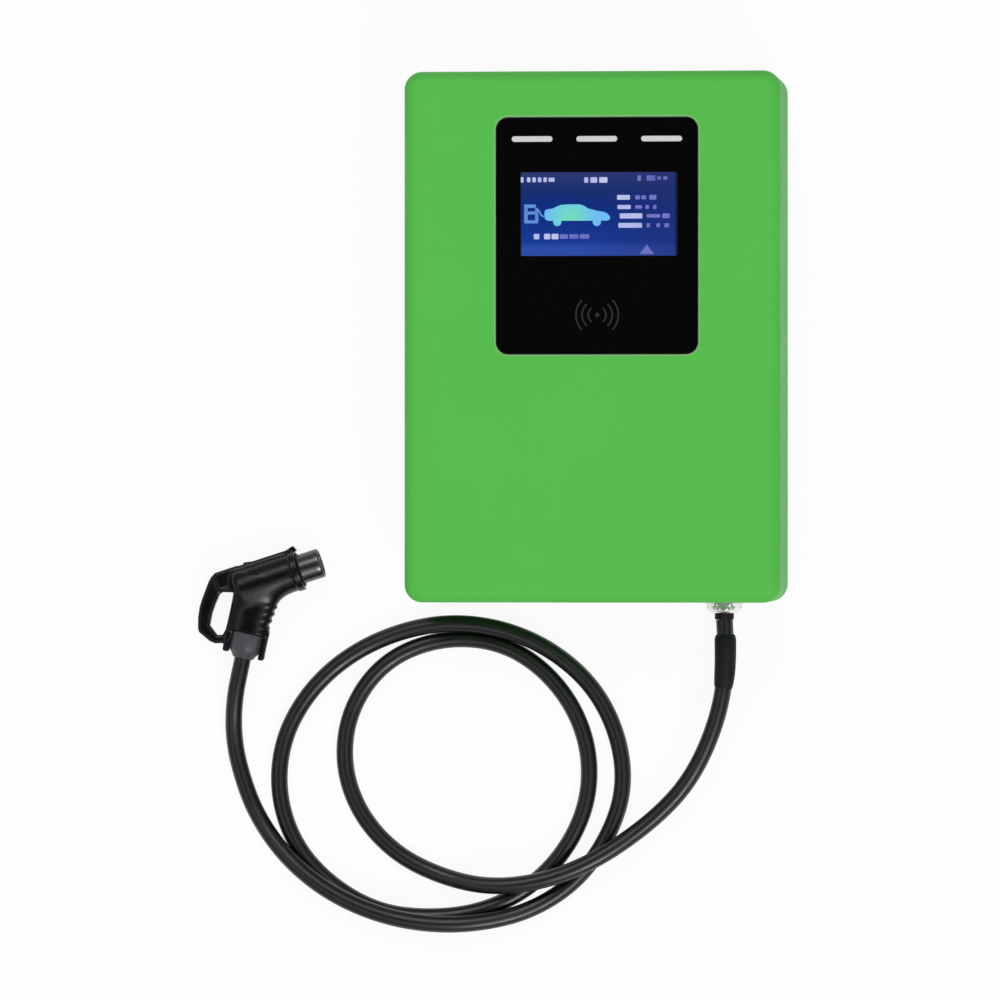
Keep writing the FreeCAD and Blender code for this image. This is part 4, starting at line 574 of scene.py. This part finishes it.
def screw_cutters():
    """The countersunk holes, three in each side of the cover."""
    profile = [(-9.0, 2.8), (-2.6, 2.8), (0.05, 5.45), (3.0, 5.45)]
    for side, row in itertools.product((-1, 1), (-1, 0, 1)):
        def beside(points):
            x, y, z = np.moveaxis(points, -1, 0)
            return np.stack([side * (CABINET_WIDTH / 2 + x), COVER_SCREW_PITCH * row + y,
                             COVER_SCREW_Z + z], -1)
        yield turned_piece("cutter", profile, beside, closed=False, around=40)


def gland_cutter():
    """The arched notch in the cover's foot, 3 mm wider than the gland's corners."""
    radius = GLAND_FLATS / 2 / math.cos(math.radians(30)) + 3
    angle = np.linspace(0, math.pi, 33)
    arch = np.stack([GLAND_X + radius * np.cos(angle), GLAND_Z + radius * np.sin(angle)], 1)
    arch = np.vstack([[GLAND_X + radius, 0.0], arch, [GLAND_X - radius, 0.0]])
    ends = [np.column_stack([arch[:, 0], np.full(len(arch), y), arch[:, 1]])
            for y in (-400.0, -380.0)]
    return new_piece("cutter", np.vstack(ends), grid_faces(2, len(arch)) + end_caps(2, len(arch)))


def make_window():
    """The glossy black window with a small edge, a screen opening and three slots."""
    gap, top = 0.3, CABINET_DEPTH
    below, above = top - 5, top + 2
    profile = [(gap, top - 3.0), (gap, top - 0.4), (gap + 0.1, top - 0.1), (gap + 0.4, top)]
    rows = panel_rows(WINDOW_WIDTH, WINDOW_HEIGHT, WINDOW_CORNER, WINDOW_X, WINDOW_Y, profile)
    window = swept_panel("window_panel", rows)
    places = [(name, WINDOW_X + row * LIGHT_PITCH)
              for name, row in (("left", -1), ("middle", 0), ("right", 1))]
    cutters = [capsule_slab("cutter", SCREEN_WIDTH, SCREEN_HEIGHT, 3.0, SCREEN_X, SCREEN_Y,
                            below, above)]
    cutters += [capsule_slab("cutter", LIGHT_LENGTH, LIGHT_HEIGHT, LIGHT_HEIGHT / 2 - 0.1, x,
                             LIGHT_Y, below, above) for _, x in places]
    carve(window, *cutters)
    dress(window, "window", "display_window")
    screen = capsule_slab("lit_screen_panel", SCREEN_WIDTH - gap, SCREEN_HEIGHT - gap, 2.8,
                          SCREEN_X, SCREEN_Y, top - 3.0, top - 0.2)
    dress(screen, "screen", "lcd_screen")
    for name, x in places:
        bar = capsule_slab(f"light_bar_{name}", LIGHT_LENGTH - gap, LIGHT_HEIGHT - gap,
                           LIGHT_HEIGHT / 2 - 0.2, x, LIGHT_Y, top - 5.5, top - 0.05, 0.4)
        dress(bar, "opal", f"light_guide_{name}")


def flat_plates(name, shapes, low, high):
    """Thin plates from closed outlines, all in one mesh."""
    points, faces = [], []
    for shape in shapes:
        shape = np.asarray(shape, float)
        count, start = len(shape), sum(len(p) for p in points)
        points += [np.column_stack([shape, np.full(count, z)]) for z in (low, high)]
        faces += grid_faces(2, count, start=start)
        faces += [[start + corner for corner in face] for face in end_caps(2, count)]
    return new_piece(name, np.vstack(points), faces)


def bar_shape(x, y, width, height):
    """A small bar with rounded corners, its left end at x and its middle at y."""
    return rounded_outline(width, height, 1.3, x + width / 2, y, arc=4, side=1)


def disc_shape(x, y, radius):
    angle = np.linspace(0, 2 * math.pi, 32, endpoint=False)
    return np.column_stack([x + radius * np.cos(angle), y + radius * np.sin(angle)])


def arc_shape(x, y, radius, thick, start, end):
    """A curved stroke round x and y between two angles in degrees."""
    angle = np.radians(np.linspace(start, end, 16))
    ring = np.column_stack([np.cos(angle), np.sin(angle)])
    ends = [ring * (radius + thick / 2), ring[::-1] * (radius - thick / 2)]
    return np.vstack(ends) + np.array([x, y])


def stroke_shape(start, end, thick):
    """A straight stroke between two points."""
    start, end = np.asarray(start, float), np.asarray(end, float)
    along = (end - start) / np.linalg.norm(end - start)
    out = np.array([-along[1], along[0]]) * thick / 2
    return np.array([start - out, end - out, end + out, start + out])


def make_screen_signs():
    """Generic signs on the screen: a car, a charger with its lead, and bars for the words.

    Each bar is (its left end, its middle's height, width, height) from the signs' middle.
    """
    here = np.array([WINDOW_X + 2.0, SCREEN_Y])
    face, bar_top, car_top = (CABINET_DEPTH - depth for depth in (0.2, 0.12, 0.13))
    bright = [(-113, 50, 4, 8), (-104, 50, 5, 7), (-96, 50, 5, 7), (-88, 50, 5, 7),
              (-80, 50, 5, 7), (-72.5, 50, 9, 6), (-20.5, 49.5, 6, 8), (-11.5, 49.5, 10, 8),
              (1.5, 49.5, 12, 8), (27.5, 24, 19, 7), (28, 10, 19.5, 6), (31.5, -3, 33, 7.5),
              (29.5, -16.7, 34.5, 7), (-94, -32.7, 8, 8), (-79, -32.7, 9, 8),
              (-68, -32.7, 10, 8)]
    dim = [(57.5, 52, 5, 8), (70.5, 52, 13, 8), (86, 52, 6, 5), (95, 52, 6, 5),
           (54, 24, 7, 6), (63, 24, 7, 6), (74.5, 24, 10.5, 7), (54, 10, 10, 5),
           (69, 10, 5, 6), (80, 10, 5, 6), (70.5, -3, 20, 5), (93.5, -3, 11, 7),
           (70.5, -16.7, 5, 6), (85, -16.7, 5, 6), (96.5, -16.7, 7, 6),
           (-56, -32.7, 12, 6.5), (-42, -32.7, 13, 6.5), (-27, -32.7, 14, 6.5)]
    arrow = np.array([[60, -58.5], [81, -58.5], [71, -44.5]]) + here
    for name, look, bars, more in (("screen_signs", "sign", bright, []),
                                   ("screen_signs_dim", "dim_sign", dim, [arrow])):
        shapes = [bar_shape(here[0] + x, here[1] + y, width, height)
                  for x, y, width, height in bars] + more
        dress(flat_plates(name, shapes, face, bar_top), look)
    body = np.array([
        (-78.5, -3), (-78.2, 4.2), (-76, 6.6), (-66, 8.2), (-61, 10.8), (-55, 13.2), (-47, 14.0),
        (-27, 14.1), (-21.5, 12.4), (-14.5, 8.0), (0.5, 4.2), (9, 3.0), (13.5, 0.5), (17.6, -4.4),
        (16.6, -8.2), (13.0, -9.8), (-73.5, -9.8), (-77.5, -7.5),
    ])
    shapes = [body + here]
    shapes += [disc_shape(here[0] + x, here[1] - 11.6, 6.0) for x in (-59.7, -2.0)]
    dress(flat_plates("screen_car", shapes, face, car_top), "aqua")
    charger = [[(-108, -13.5), (-103, -13.5), (-103, 14), (-108, 14)],
               [(-103, 9), (-91, 9), (-91, 14), (-103, 14)],
               [(-92, -9), (-87, -9), (-88, 9), (-92, 9)],
               [(-103, -0.5), (-92, -0.5), (-92, 4), (-103, 4)],
               [(-103, -13.5), (-88, -13.5), (-88, -9), (-103, -9)],
               stroke_shape((-88, 7), (-82.5, -2.5), 2.4),
               stroke_shape((-83, -2), (-77, -4.5), 2.4)]
    shapes = [np.array(shape) + here for shape in charger]
    dress(flat_plates("screen_charger", shapes, face, bar_top), "lead")


def make_reader_sign():
    """The printed contactless sign: arcs each side of a small diamond."""
    cx, cy = WINDOW_X + 0.5, READER_Y - 1.0
    shapes = [arc_shape(cx, cy, radius, 2.2, turn - spread, turn + spread)
              for radius, spread in ((13.0, 50), (22.0, 47), (31.0, 44)) for turn in (0, 180)]
    shapes.append(np.array([(0, -4.5), (3.6, 0), (0, 4.5), (-3.6, 0)]) + np.array([cx, cy]))
    dress(flat_plates("reader_sign", shapes, CABINET_DEPTH - 0.02, CABINET_DEPTH + 0.04), "print")


# Cable gland and sleeve


def make_gland():
    """The metal gland: washer, hexagon with chamfered corners, cap with a dome, and insert."""
    washer = [(0, 20.2), (0, 24.6), (0.4, 25.0), (1.6, 25.0), (2, 24.6), (2, 20.2)]
    hexagon = [(2.0, 13.1), (2.0, 25.4), (3.2, 27.4), (8.8, 27.4), (10.0, 25.4), (10.0, 13.1)]
    dome = [(10.0, 14.5), (10.0, 24.0), (10.9, 25.9), (15.2, 25.9), (16.2, 23.6), (17.4, 22.6),
            (18.8, 21.2), (19.9, 19.2), (20.5, 16.8), (20.5, 14.5)]
    plug = [(12.0, 12.7), (12.0, 14.3), (26.0, 14.2), (28.6, 13.9), (29.8, 13.2), (29.8, 12.6)]
    for name, profile, flats, look, node in (
            ("gland_seal_ring", washer, 0.0, "rubber", "gland_washer"),
            ("gland_hexagon", hexagon, GLAND_FLATS, "nickel", "gland_body"),
            ("gland_dome", dome, 47.0, "nickel", "gland_cap"),
            ("gland_plug", plug, 0.0, "rubber", "gland_insert")):
        dress(turned_piece(name, profile, on_gland, flats=flats), look, node)


def make_sleeve():
    """The kink-guard sleeve, bent along the cable's first bend, with soft shoulders.

    The cable's spline begins as the curve (1 - t)^2 A + 2 t (1 - t) B + t^2 C, where A and B are
    the first two points of the route and C is midway between the second and the third.
    """
    first, second, third = (np.array(point) for point in ROUTE_MM[:3])
    last = (second + third) / 2

    def on_curve(t):
        return first * (1 - t) ** 2 + second * 2 * t * (1 - t) + last * t ** 2

    share = np.linspace(0.0, 1.0, 401)
    steps = np.linalg.norm(np.diff(on_curve(share[:, None]), axis=0), axis=1)
    gone = np.concatenate([[0.0], np.cumsum(steps)])
    across = np.cross(second - first, last - second)
    across /= np.linalg.norm(across)

    def place(points):
        t = np.interp(points[..., 0], gone, share)[..., None]
        along = (second - first) * (1 - t) + (last - second) * t
        along /= np.linalg.norm(along, axis=-1, keepdims=True)
        return on_curve(t) + np.cross(across, along) * points[..., 1:2] + across * points[..., 2:3]

    near, length, radius, bore = 22.0, 79.0, 16.0, 12.7
    profile = [(0.0, bore), (0.0, 13.4), (1.0, 14.2), (3.5, 15.3), (7.0, radius), (20.0, radius),
               (35.0, 15.8), (50.0, 15.6), (62.0, 15.2), (70.0, 14.6), (75.0, 13.9),
               (length - 0.8, 13.3), (length, bore), (62.0, bore), (40.0, bore), (20.0, bore)]
    profile = [(near + x, r) for x, r in profile]
    return dress(turned_piece("kink_guard", profile, place, around=72), "rubber", "cable_sleeve")


# Connector. Its housing is the zero level of a distance in millimetres: barrel, grip, collar,
# ridge, loop and ears joined by smooth unions, less the slots and recesses.


def soft_union(a, b, blend):
    """The smaller of two distances, rounded off where they are within blend of each other."""
    share = np.clip(0.5 + 0.5 * (b - a) / blend, 0.0, 1.0)
    return b * (1 - share) + a * share - blend * share * (1 - share)


def soft_cut(a, b, blend):
    """The distance a with b taken away, the new edge rounded by blend."""
    return -soft_union(-a, b, blend)


def rounded(gaps, edge):
    """Distance to a form with corners rounded by edge, from the distances to the sides of the
    same form made smaller by edge."""
    outside = np.sqrt(sum(np.maximum(gap, 0.0) ** 2 for gap in gaps))
    return outside + np.minimum(functools.reduce(np.maximum, gaps), 0.0) - edge


def block_distance(x, y, z, low, high, edge):
    """Distance to a box between two corners, with its edges rounded."""
    return rounded([np.abs(v - (a + b) / 2) - (b - a) / 2 + edge
                    for v, a, b in zip((x, y, z), low, high)], edge)


def turned_distance(x, r, start, end, radius, edge_start, edge_end):
    """Distance to a cylinder along x whose two rims have their own rounding."""
    middle = (start + end) / 2
    edge = np.where(x < middle, edge_start, edge_end)
    return rounded([np.abs(x - middle) - (end - start) / 2 + edge, r - radius + edge], edge)


def plate_distance(flat, z, half, edge):
    """Distance to a plate with rounded edges, from the distance to its outline."""
    return rounded([flat + edge, np.abs(z) - half + edge], edge)


def hole_distance(x, y, a, b, radius, floor):
    """Distance to a round hole about a and b which ends where floor is above zero."""
    return np.maximum(np.sqrt((x - a) ** 2 + (y - b) ** 2) - radius, floor)


# The hand loop's outline and its opening, drawn in the connector's middle plane
LOOP_OUTLINE = np.array([
    (-88, 33.4), (-121, 33.0), (-128.5, 30.6), (-135, 24.5), (-143.7, 13.6), (-152, 3.2),
    (-159.2, -7.0), (-166, -21), (-171.2, -36), (-171.4, -42), (-160.5, -59.5), (-153.5, -65.5),
    (-141, -69.0), (-118, -70.0), (-96, -30.0),
], float)
OPENING_OUTLINE = np.array([
    (-119.5, 2.6), (-104.6, -2.6), (-109.3, -11.0), (-131.8, -49.3), (-139.3, -55.6),
    (-146.2, -53.6), (-151.8, -37.5), (-143.2, -21.8), (-134.5, -10.5), (-124.2, 1.2),
], float)


def outline_distance(x, y, corners):
    """Distance to a closed outline in the plane, negative inside it."""
    nearest = np.full(np.broadcast(x, y).shape, 1e9)
    inside = np.zeros(nearest.shape, bool)
    for (ax, ay), (bx, by) in zip(corners, np.roll(corners, -1, axis=0)):
        dx, dy = bx - ax, by - ay
        share = np.clip(((x - ax) * dx + (y - ay) * dy) / (dx * dx + dy * dy), 0.0, 1.0)
        nearest = np.minimum(nearest, (x - ax - share * dx) ** 2 + (y - ay - share * dy) ** 2)
        if ay != by:
            inside ^= ((ay > y) != (by > y)) & (x < (bx - ax) * (y - ay) / (by - ay) + ax)
    return np.where(inside, -1.0, 1.0) * np.sqrt(nearest)


def grip_distance(s, w, z):
    """Distance to the grip, s down it and w to its front: an oval shaft that widens upwards.

    A section is the curve |w / half|^p + |z / thick|^p = 1 with p = 2.5. The front is waved by
    ribs 11 mm apart between s = 22 and 76 mm.
    """
    back, power = 31.0, 2.5
    front = 29.5 + 7.0 * np.clip((58.0 - s) / 46.0, 0.0, 1.6)
    ribs = 1.2 * np.cos((s - 19.0) * 2 * math.pi / 11.0)
    ribs = ribs * np.clip((s - 22) / 5, 0, 1) * np.clip((76 - s) / 5, 0, 1)
    front = front + ribs * np.clip((w - 8.0) / 14.0, 0.0, 1.0)
    half, centre = (front + back) / 2, (front - back) / 2
    thick = 20.5 - 1.5 * np.clip(s / 76.0, 0.0, 1.0)
    ratio = (np.abs((w - centre) / half) ** power + np.abs(z / thick) ** power) ** (1 / power)
    return -soft_union(-(ratio - 1.0) * thick, -(np.abs(s - 36.0) - 40.0), 3.0)


def housing_distance(x, y, z):
    """Distance to the connector's housing in its own frame."""
    r = np.sqrt(y * y + z * z)
    s = (x - GRIP_ROOT) * GRIP_DOWN[0] + y * GRIP_DOWN[1]
    w = (x - GRIP_ROOT) * GRIP_FRONT[0] + y * GRIP_FRONT[1]
    barrel = turned_distance(x, r, -110.0, -1.0, 29.3, 20.0, 1.5)
    behind = -(w + 31.5) - 0.7 * np.maximum(y, 0.0)
    barrel = -soft_union(-barrel, -behind, 10.0)
    collar = turned_distance(x, r, -10.0, 0.0, 31.0, 1.2, 1.0)
    ridge = block_distance(x, y, z, (-124.0, 8.0, -12.5), (-2.0, 33.3, 12.5), 4.0)
    opening = outline_distance(x, y, OPENING_OUTLINE)
    band = np.maximum(outline_distance(x, y, LOOP_OUTLINE), -opening)
    front_ear = block_distance(s, w, z, (66.0, 21.0, -8.0), (112.0, 31.2, 8.0), 3.5)
    rear_ear = block_distance(s, w, z, (70.0, -32.0, -10.0), (109.0, -22.5, 10.0), 3.5)
    solid = soft_union(barrel, grip_distance(s, w, z), 11.0)
    for part, blend in ((collar, 1.5), (ridge, 4.0), (plate_distance(band, z, 9.5, 5.5), 5.0)):
        solid = soft_union(solid, part, blend)
    solid = soft_cut(solid, opening - 0.2, 2.5)
    for ear in (front_ear, rear_ear):
        solid = soft_union(solid, ear, 3.0)
    slot = block_distance(x, y, z, (-81.0, 20.0, -8.0), (-10.0, 60.0, 8.0), 0.6)
    notch = block_distance(x, y, z, (-14.0, 26.0, -8.0), (8.0, 60.0, 8.0), 0.6)
    within = np.arctan2(z, w) % (math.pi / 4) - math.pi / 8
    gland_room = np.maximum(np.sqrt(w * w + z * z) * np.cos(within) - 23.3, 75.7 - s)
    mouth = np.maximum(r - 22.6, -12.0 - x)
    recess = hole_distance(x, y, -10.5, -3.0, 5.5, 27.8 - z)
    for a, b in ((-28.0, -17.0), (-90.0, 12.0), (-65.6, -40.9), (-110.4, -40.5)):
        recess = np.minimum(recess, hole_distance(x, y, a, b, 3.6, z + 14.0))
    eye = hole_distance(s, z, 106.0, 0.0, 3.0, 20.0 - w)
    for away in (np.minimum(slot, notch), gland_room, mouth, recess, eye):
        solid = soft_cut(solid, away, 0.8)
    return solid


def neighbours(axis):
    """Picks that pair each corner of a grid with the next one along an axis."""
    first, second = [slice(None)] * 3, [slice(None)] * 3
    first[axis], second[axis] = slice(0, -1), slice(1, None)
    return tuple(first), tuple(second)


# Each axis with the two others
OTHER_AXES = ((0, [1, 2]), (1, [0, 2]), (2, [0, 1]))
SETTLING_ROUNDS = 4


def level_surface(distance, low, high, step):
    """The zero level of a distance as four-sided faces.

    Each cell of a grid whose corners differ in sign holds one point, the mean of its edges'
    crossings, moved onto the level by the distance's slope. Each crossed edge gives one face
    between its four cells.
    """
    axes = [np.arange(a, b + step, step) for a, b in zip(low, high)]
    x, y, z = np.meshgrid(*axes, indexing="ij", sparse=True)
    value = distance(x, y, z)
    inside = value < 0
    cells = tuple(n - 1 for n in inside.shape)
    total, count = np.zeros(cells + (3,)), np.zeros(cells)
    for axis, others in OTHER_AXES:
        first, second = neighbours(axis)
        a, b = value[first], value[second]
        crossed = inside[first] != inside[second]
        share = np.where(crossed, a / np.where(crossed, a - b, 1.0), 0.0)
        for shifts in itertools.product((0, 1), repeat=2):
            pick = [slice(None)] * 3
            spot = np.zeros(cells + (3,))
            for other, shift in zip(others, shifts):
                pick[other] = slice(shift, crossed.shape[other] - 1 + shift)
                spot[..., other] = shift
            hit = crossed[tuple(pick)]
            spot[..., axis] = share[tuple(pick)]
            total += spot * hit[..., None]
            count += hit
    used = count > 0
    where = np.argwhere(used)
    points = total[used] / count[used][:, None] + where
    points = points * step + np.array([axis[0] for axis in axes])
    number = np.full(cells, -1)
    number[used] = np.arange(len(where))
    faces = []
    for axis, others in OTHER_AXES:
        first, second = neighbours(axis)
        change = inside[first].astype(int) - inside[second].astype(int)
        core = [slice(1, -1)] * 3
        core[axis] = slice(None)
        spots = np.argwhere(change[tuple(core)] != 0)
        spots[:, others] += 1
        sign = change[tuple(spots.T)]
        ring = []
        for shifts in ((0, 0), (1, 0), (1, 1), (0, 1)):
            cell = spots.copy()
            cell[:, others] -= np.array(shifts)
            ring.append(number[tuple(cell.T)])
        quads = np.stack(ring, axis=1)
        flip = (sign > 0) if axis != 1 else (sign < 0)
        quads[flip] = quads[flip][:, ::-1]
        faces.append(quads)
    for _ in range(SETTLING_ROUNDS):
        points = settle(distance, points, step)
    return points, np.concatenate(faces)


def settle(distance, points, step):
    """Moves points along the distance's slope onto its zero level, a part of a cell at most."""
    small, least_slope, longest = 0.05, 0.05, 0.35 * step
    here = distance(*points.T)
    slope = np.empty_like(points)
    for axis in range(3):
        shift = np.zeros(3)
        shift[axis] = small
        slope[:, axis] = (distance(*(points + shift).T) - distance(*(points - shift).T))
    slope /= 2 * small
    size = np.maximum((slope ** 2).sum(axis=1), least_slope)
    move = -slope * (here / size)[:, None]
    length = np.linalg.norm(move, axis=1)
    move *= np.minimum(1.0, longest / np.maximum(length, 1e-9))[:, None]
    return points + 0.8 * move


def make_housing():
    low, high = (-184.0, -120.0, -33.0), (4.0, 36.0, 33.0)
    step = 0.9
    points, faces = level_surface(housing_distance, low, high, step)
    mesh = bpy.data.meshes.new("connector_housing")
    mesh.vertices.add(len(points))
    mesh.vertices.foreach_set("co", (on_gun(points) * MM).ravel())
    mesh.loops.add(faces.size)
    mesh.loops.foreach_set("vertex_index", faces.ravel())
    mesh.polygons.add(len(faces))
    mesh.polygons.foreach_set("loop_start", np.arange(0, faces.size, 4))
    mesh.update(calc_edges=True)
    mesh.validate()
    tidy_mesh(mesh, 50.0)
    housing = add_piece("connector_housing", mesh, "station")
    return dress(housing, "gun", "housing_upper", "housing_lower")


def make_connector():
    """The connector's turned pieces: nozzle with a rounded rim, seal and gland."""
    inner, outer, end = 18.5, 21.9, 34.0
    rim = [(end - 3.0, outer), (end - 1.2, outer - 0.4), (end - 0.3, outer - 1.1),
           (end, outer - 2.0), (end - 0.2, inner + 0.4), (end - 0.8, inner)]
    profile = [(-7.0, inner), (-7.0, 25.5), (-3.3, 25.5), (-3.3, 22.3), (2.6, 22.3)]
    profile += [(x, outer) for x in (3.0, 16.0, 26.0)] + rim + [(20.0, inner)]
    nozzle = turned_piece("nozzle_tube", profile, on_gun, around=128)
    ring = [(0.0, 22.4), (0.0, 24.8), (0.8, 25.5), (1.6, 25.5), (2.4, 24.8), (2.4, 22.4)]
    seal = turned_piece("nozzle_ring", ring, on_gun)
    nut = [(76.3, 12.9), (76.3, 22.6), (77.4, 24.9), (101.5, 24.9), (104.0, 21.8),
           (108.0, 18.6), (112.5, 15.9), (114.0, 14.6), (114.0, 12.9)]
    gland = turned_piece("gun_gland_nut", nut, on_grip, flats=46.0, sides=8, around=128)
    return [dress(nozzle, "nozzle", "connector_nozzle"), dress(seal, "rubber", "nozzle_seal"),
            dress(gland, "grey", "gun_gland")]


def dress_solids(body, **nodes):
    """Solids whose shape is right: merged, smoothed and given the look named for each."""
    return [dress(smoothed(node, f"{node}_piece", body), look) for node, look in nodes.items()]


def dress_inner_nodes():
    """The pieces inside the cabinet keep their solids and get their materials."""
    groups = {
        "rubber": "cover_seal", "black": "window_tape breaker_toggle",
        "zinc": "lcd_module carrier_screws plate_standoffs mounting_plate plate_screws "
                "device_rail supply_rail terminal_rail board_posts",
        "board": "led_board reader_board controller_board control_board",
        "carrier": "display_carrier",
        "device": "surge_arrester main_breaker ground_fault_relay power_contactor energy_meter "
                  "auxiliary_supply terminal_block current_sensor",
        "brass": "earth_bar", "nickel": "gland_locknut", "jacket": "cable_tail",
    }
    for look, names in groups.items():
        for name in names.split():
            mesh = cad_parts[name].data
            mesh.materials.clear()
            mesh.materials.append(looks[look])


# Floor, light


def make_stage():
    """A wide white floor that keeps the object's shadow.

    Seen straight, in a mirror or through glass it mostly gives off white by itself.
    """
    mesh = bpy.data.meshes.new("floor")
    corners = ((-1, -1), (1, -1), (1, 1), (-1, 1))
    mesh.from_pydata([(x * FLOOR_REACH, y * FLOOR_REACH, 0) for x, y in corners], [],
                     [(0, 1, 2, 3)])
    floor = put("floor", mesh)
    floor.location.z = -0.0002
    white = Finish("floor_white", (0, 0, 0), 0.9, level=0.1)
    white.shader.inputs["Base Color"].default_value = (0.9, 0.9, 0.9, 1.0)
    tree = white.tree
    path = white.node("ShaderNodeLightPath").outputs
    seen = path["Is Camera Ray"]
    for ray in ("Is Glossy Ray", "Is Transmission Ray"):
        seen = calculate(tree, "ShaderNodeMath", "MAXIMUM", seen, path[ray]).outputs[0]
    share = calculate(tree, "ShaderNodeMath", "MULTIPLY", seen, FLOOR_GLOW)
    glow = white.node("ShaderNodeEmission", Strength=1.0)
    mix = white.node("ShaderNodeMixShader")
    for socket, node in zip(mix.inputs, (share, white.shader, glow)):
        tree.links.new(node.outputs[0], socket)
    tree.links.new(mix.outputs[0], tree.nodes["Material Output"].inputs["Surface"])
    mesh.materials.append(white.material)


def make_sky():
    """A wide bright ring overhead round a small dark middle, softer light lower down.

    The middle stands where the window's face is seen to reflect, so that the window stays black
    while round pieces beside it get their highlights from the ring.
    """
    SCENE.world = bpy.data.worlds.new("sky")
    SCENE.world.use_nodes = True
    tree = SCENE.world.node_tree
    place = add_node(tree, "ShaderNodeTexCoord").outputs["Generated"]
    near = calculate(tree, "ShaderNodeVectorMath", "DOT_PRODUCT", place, SKY_AXIS)
    total = 0.0
    for start, end, level in SKY_STEPS:
        begin, full = (math.cos(math.radians(angle)) for angle in (start, end))
        part = add_node(tree, "ShaderNodeMapRange", {"interpolation_type": "SMOOTHSTEP"},
                        Value=near.outputs["Value"], From_Min=begin, From_Max=full, To_Min=0.0,
                        To_Max=level)
        total = calculate(tree, "ShaderNodeMath", "ADD", total, part.outputs[0]).outputs[0]
    path = add_node(tree, "ShaderNodeLightPath")
    mix = add_node(tree, "ShaderNodeMix", {"data_type": "FLOAT"})
    for socket, value in ((0, path.outputs["Is Camera Ray"]), (2, total), (3, 1.0)):
        join(tree, value, mix.inputs[socket])
    back = tree.nodes["Background"].inputs
    back["Color"].default_value = (1.0, 1.0, 1.0, 1.0)
    tree.links.new(mix.outputs[0], back["Strength"])


def add_sun(name, strength, spread, tilt, heading):
    """A wide soft lamp, tilt degrees from straight above, coming from a heading."""
    data = bpy.data.lights.new(name, "SUN")
    data.energy = strength
    data.angle = math.radians(spread)
    put(name, data).rotation_euler = (math.radians(tilt), 0.0, math.radians(heading))


make_camera()
cable = make_cable()
looks = make_materials()
dress(cable, "jacket")
make_cover()
make_window()
make_screen_signs()
make_reader_sign()
make_gland()
on_cable = [make_sleeve(), make_housing(), *make_connector()]
dress_solids("station", wall_bracket="zinc", rear_chassis="paint", cover_screws="zinc",
             stud_nuts="zinc", supply_grommet="rubber", breather_plug="black")
on_cable += dress_solids("station", contact_carrier="nozzle", contact_sockets="brass",
                         nozzle_screw="oxide", housing_screws="oxide", latch_pin="oxide",
                         latch_spring="zinc")
on_cable += dress_solids("lever", latch_lever="gun")
dress_inner_nodes()
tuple(ROUTE[0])
make_stage()
make_sky()
add_sun("key", 1.25, 20.0, 46.0, 28.0)
add_sun("sheen", 0.6, 24.0, 40.0, 190.0)
SCENE.view_settings.view_transform = "Standard"
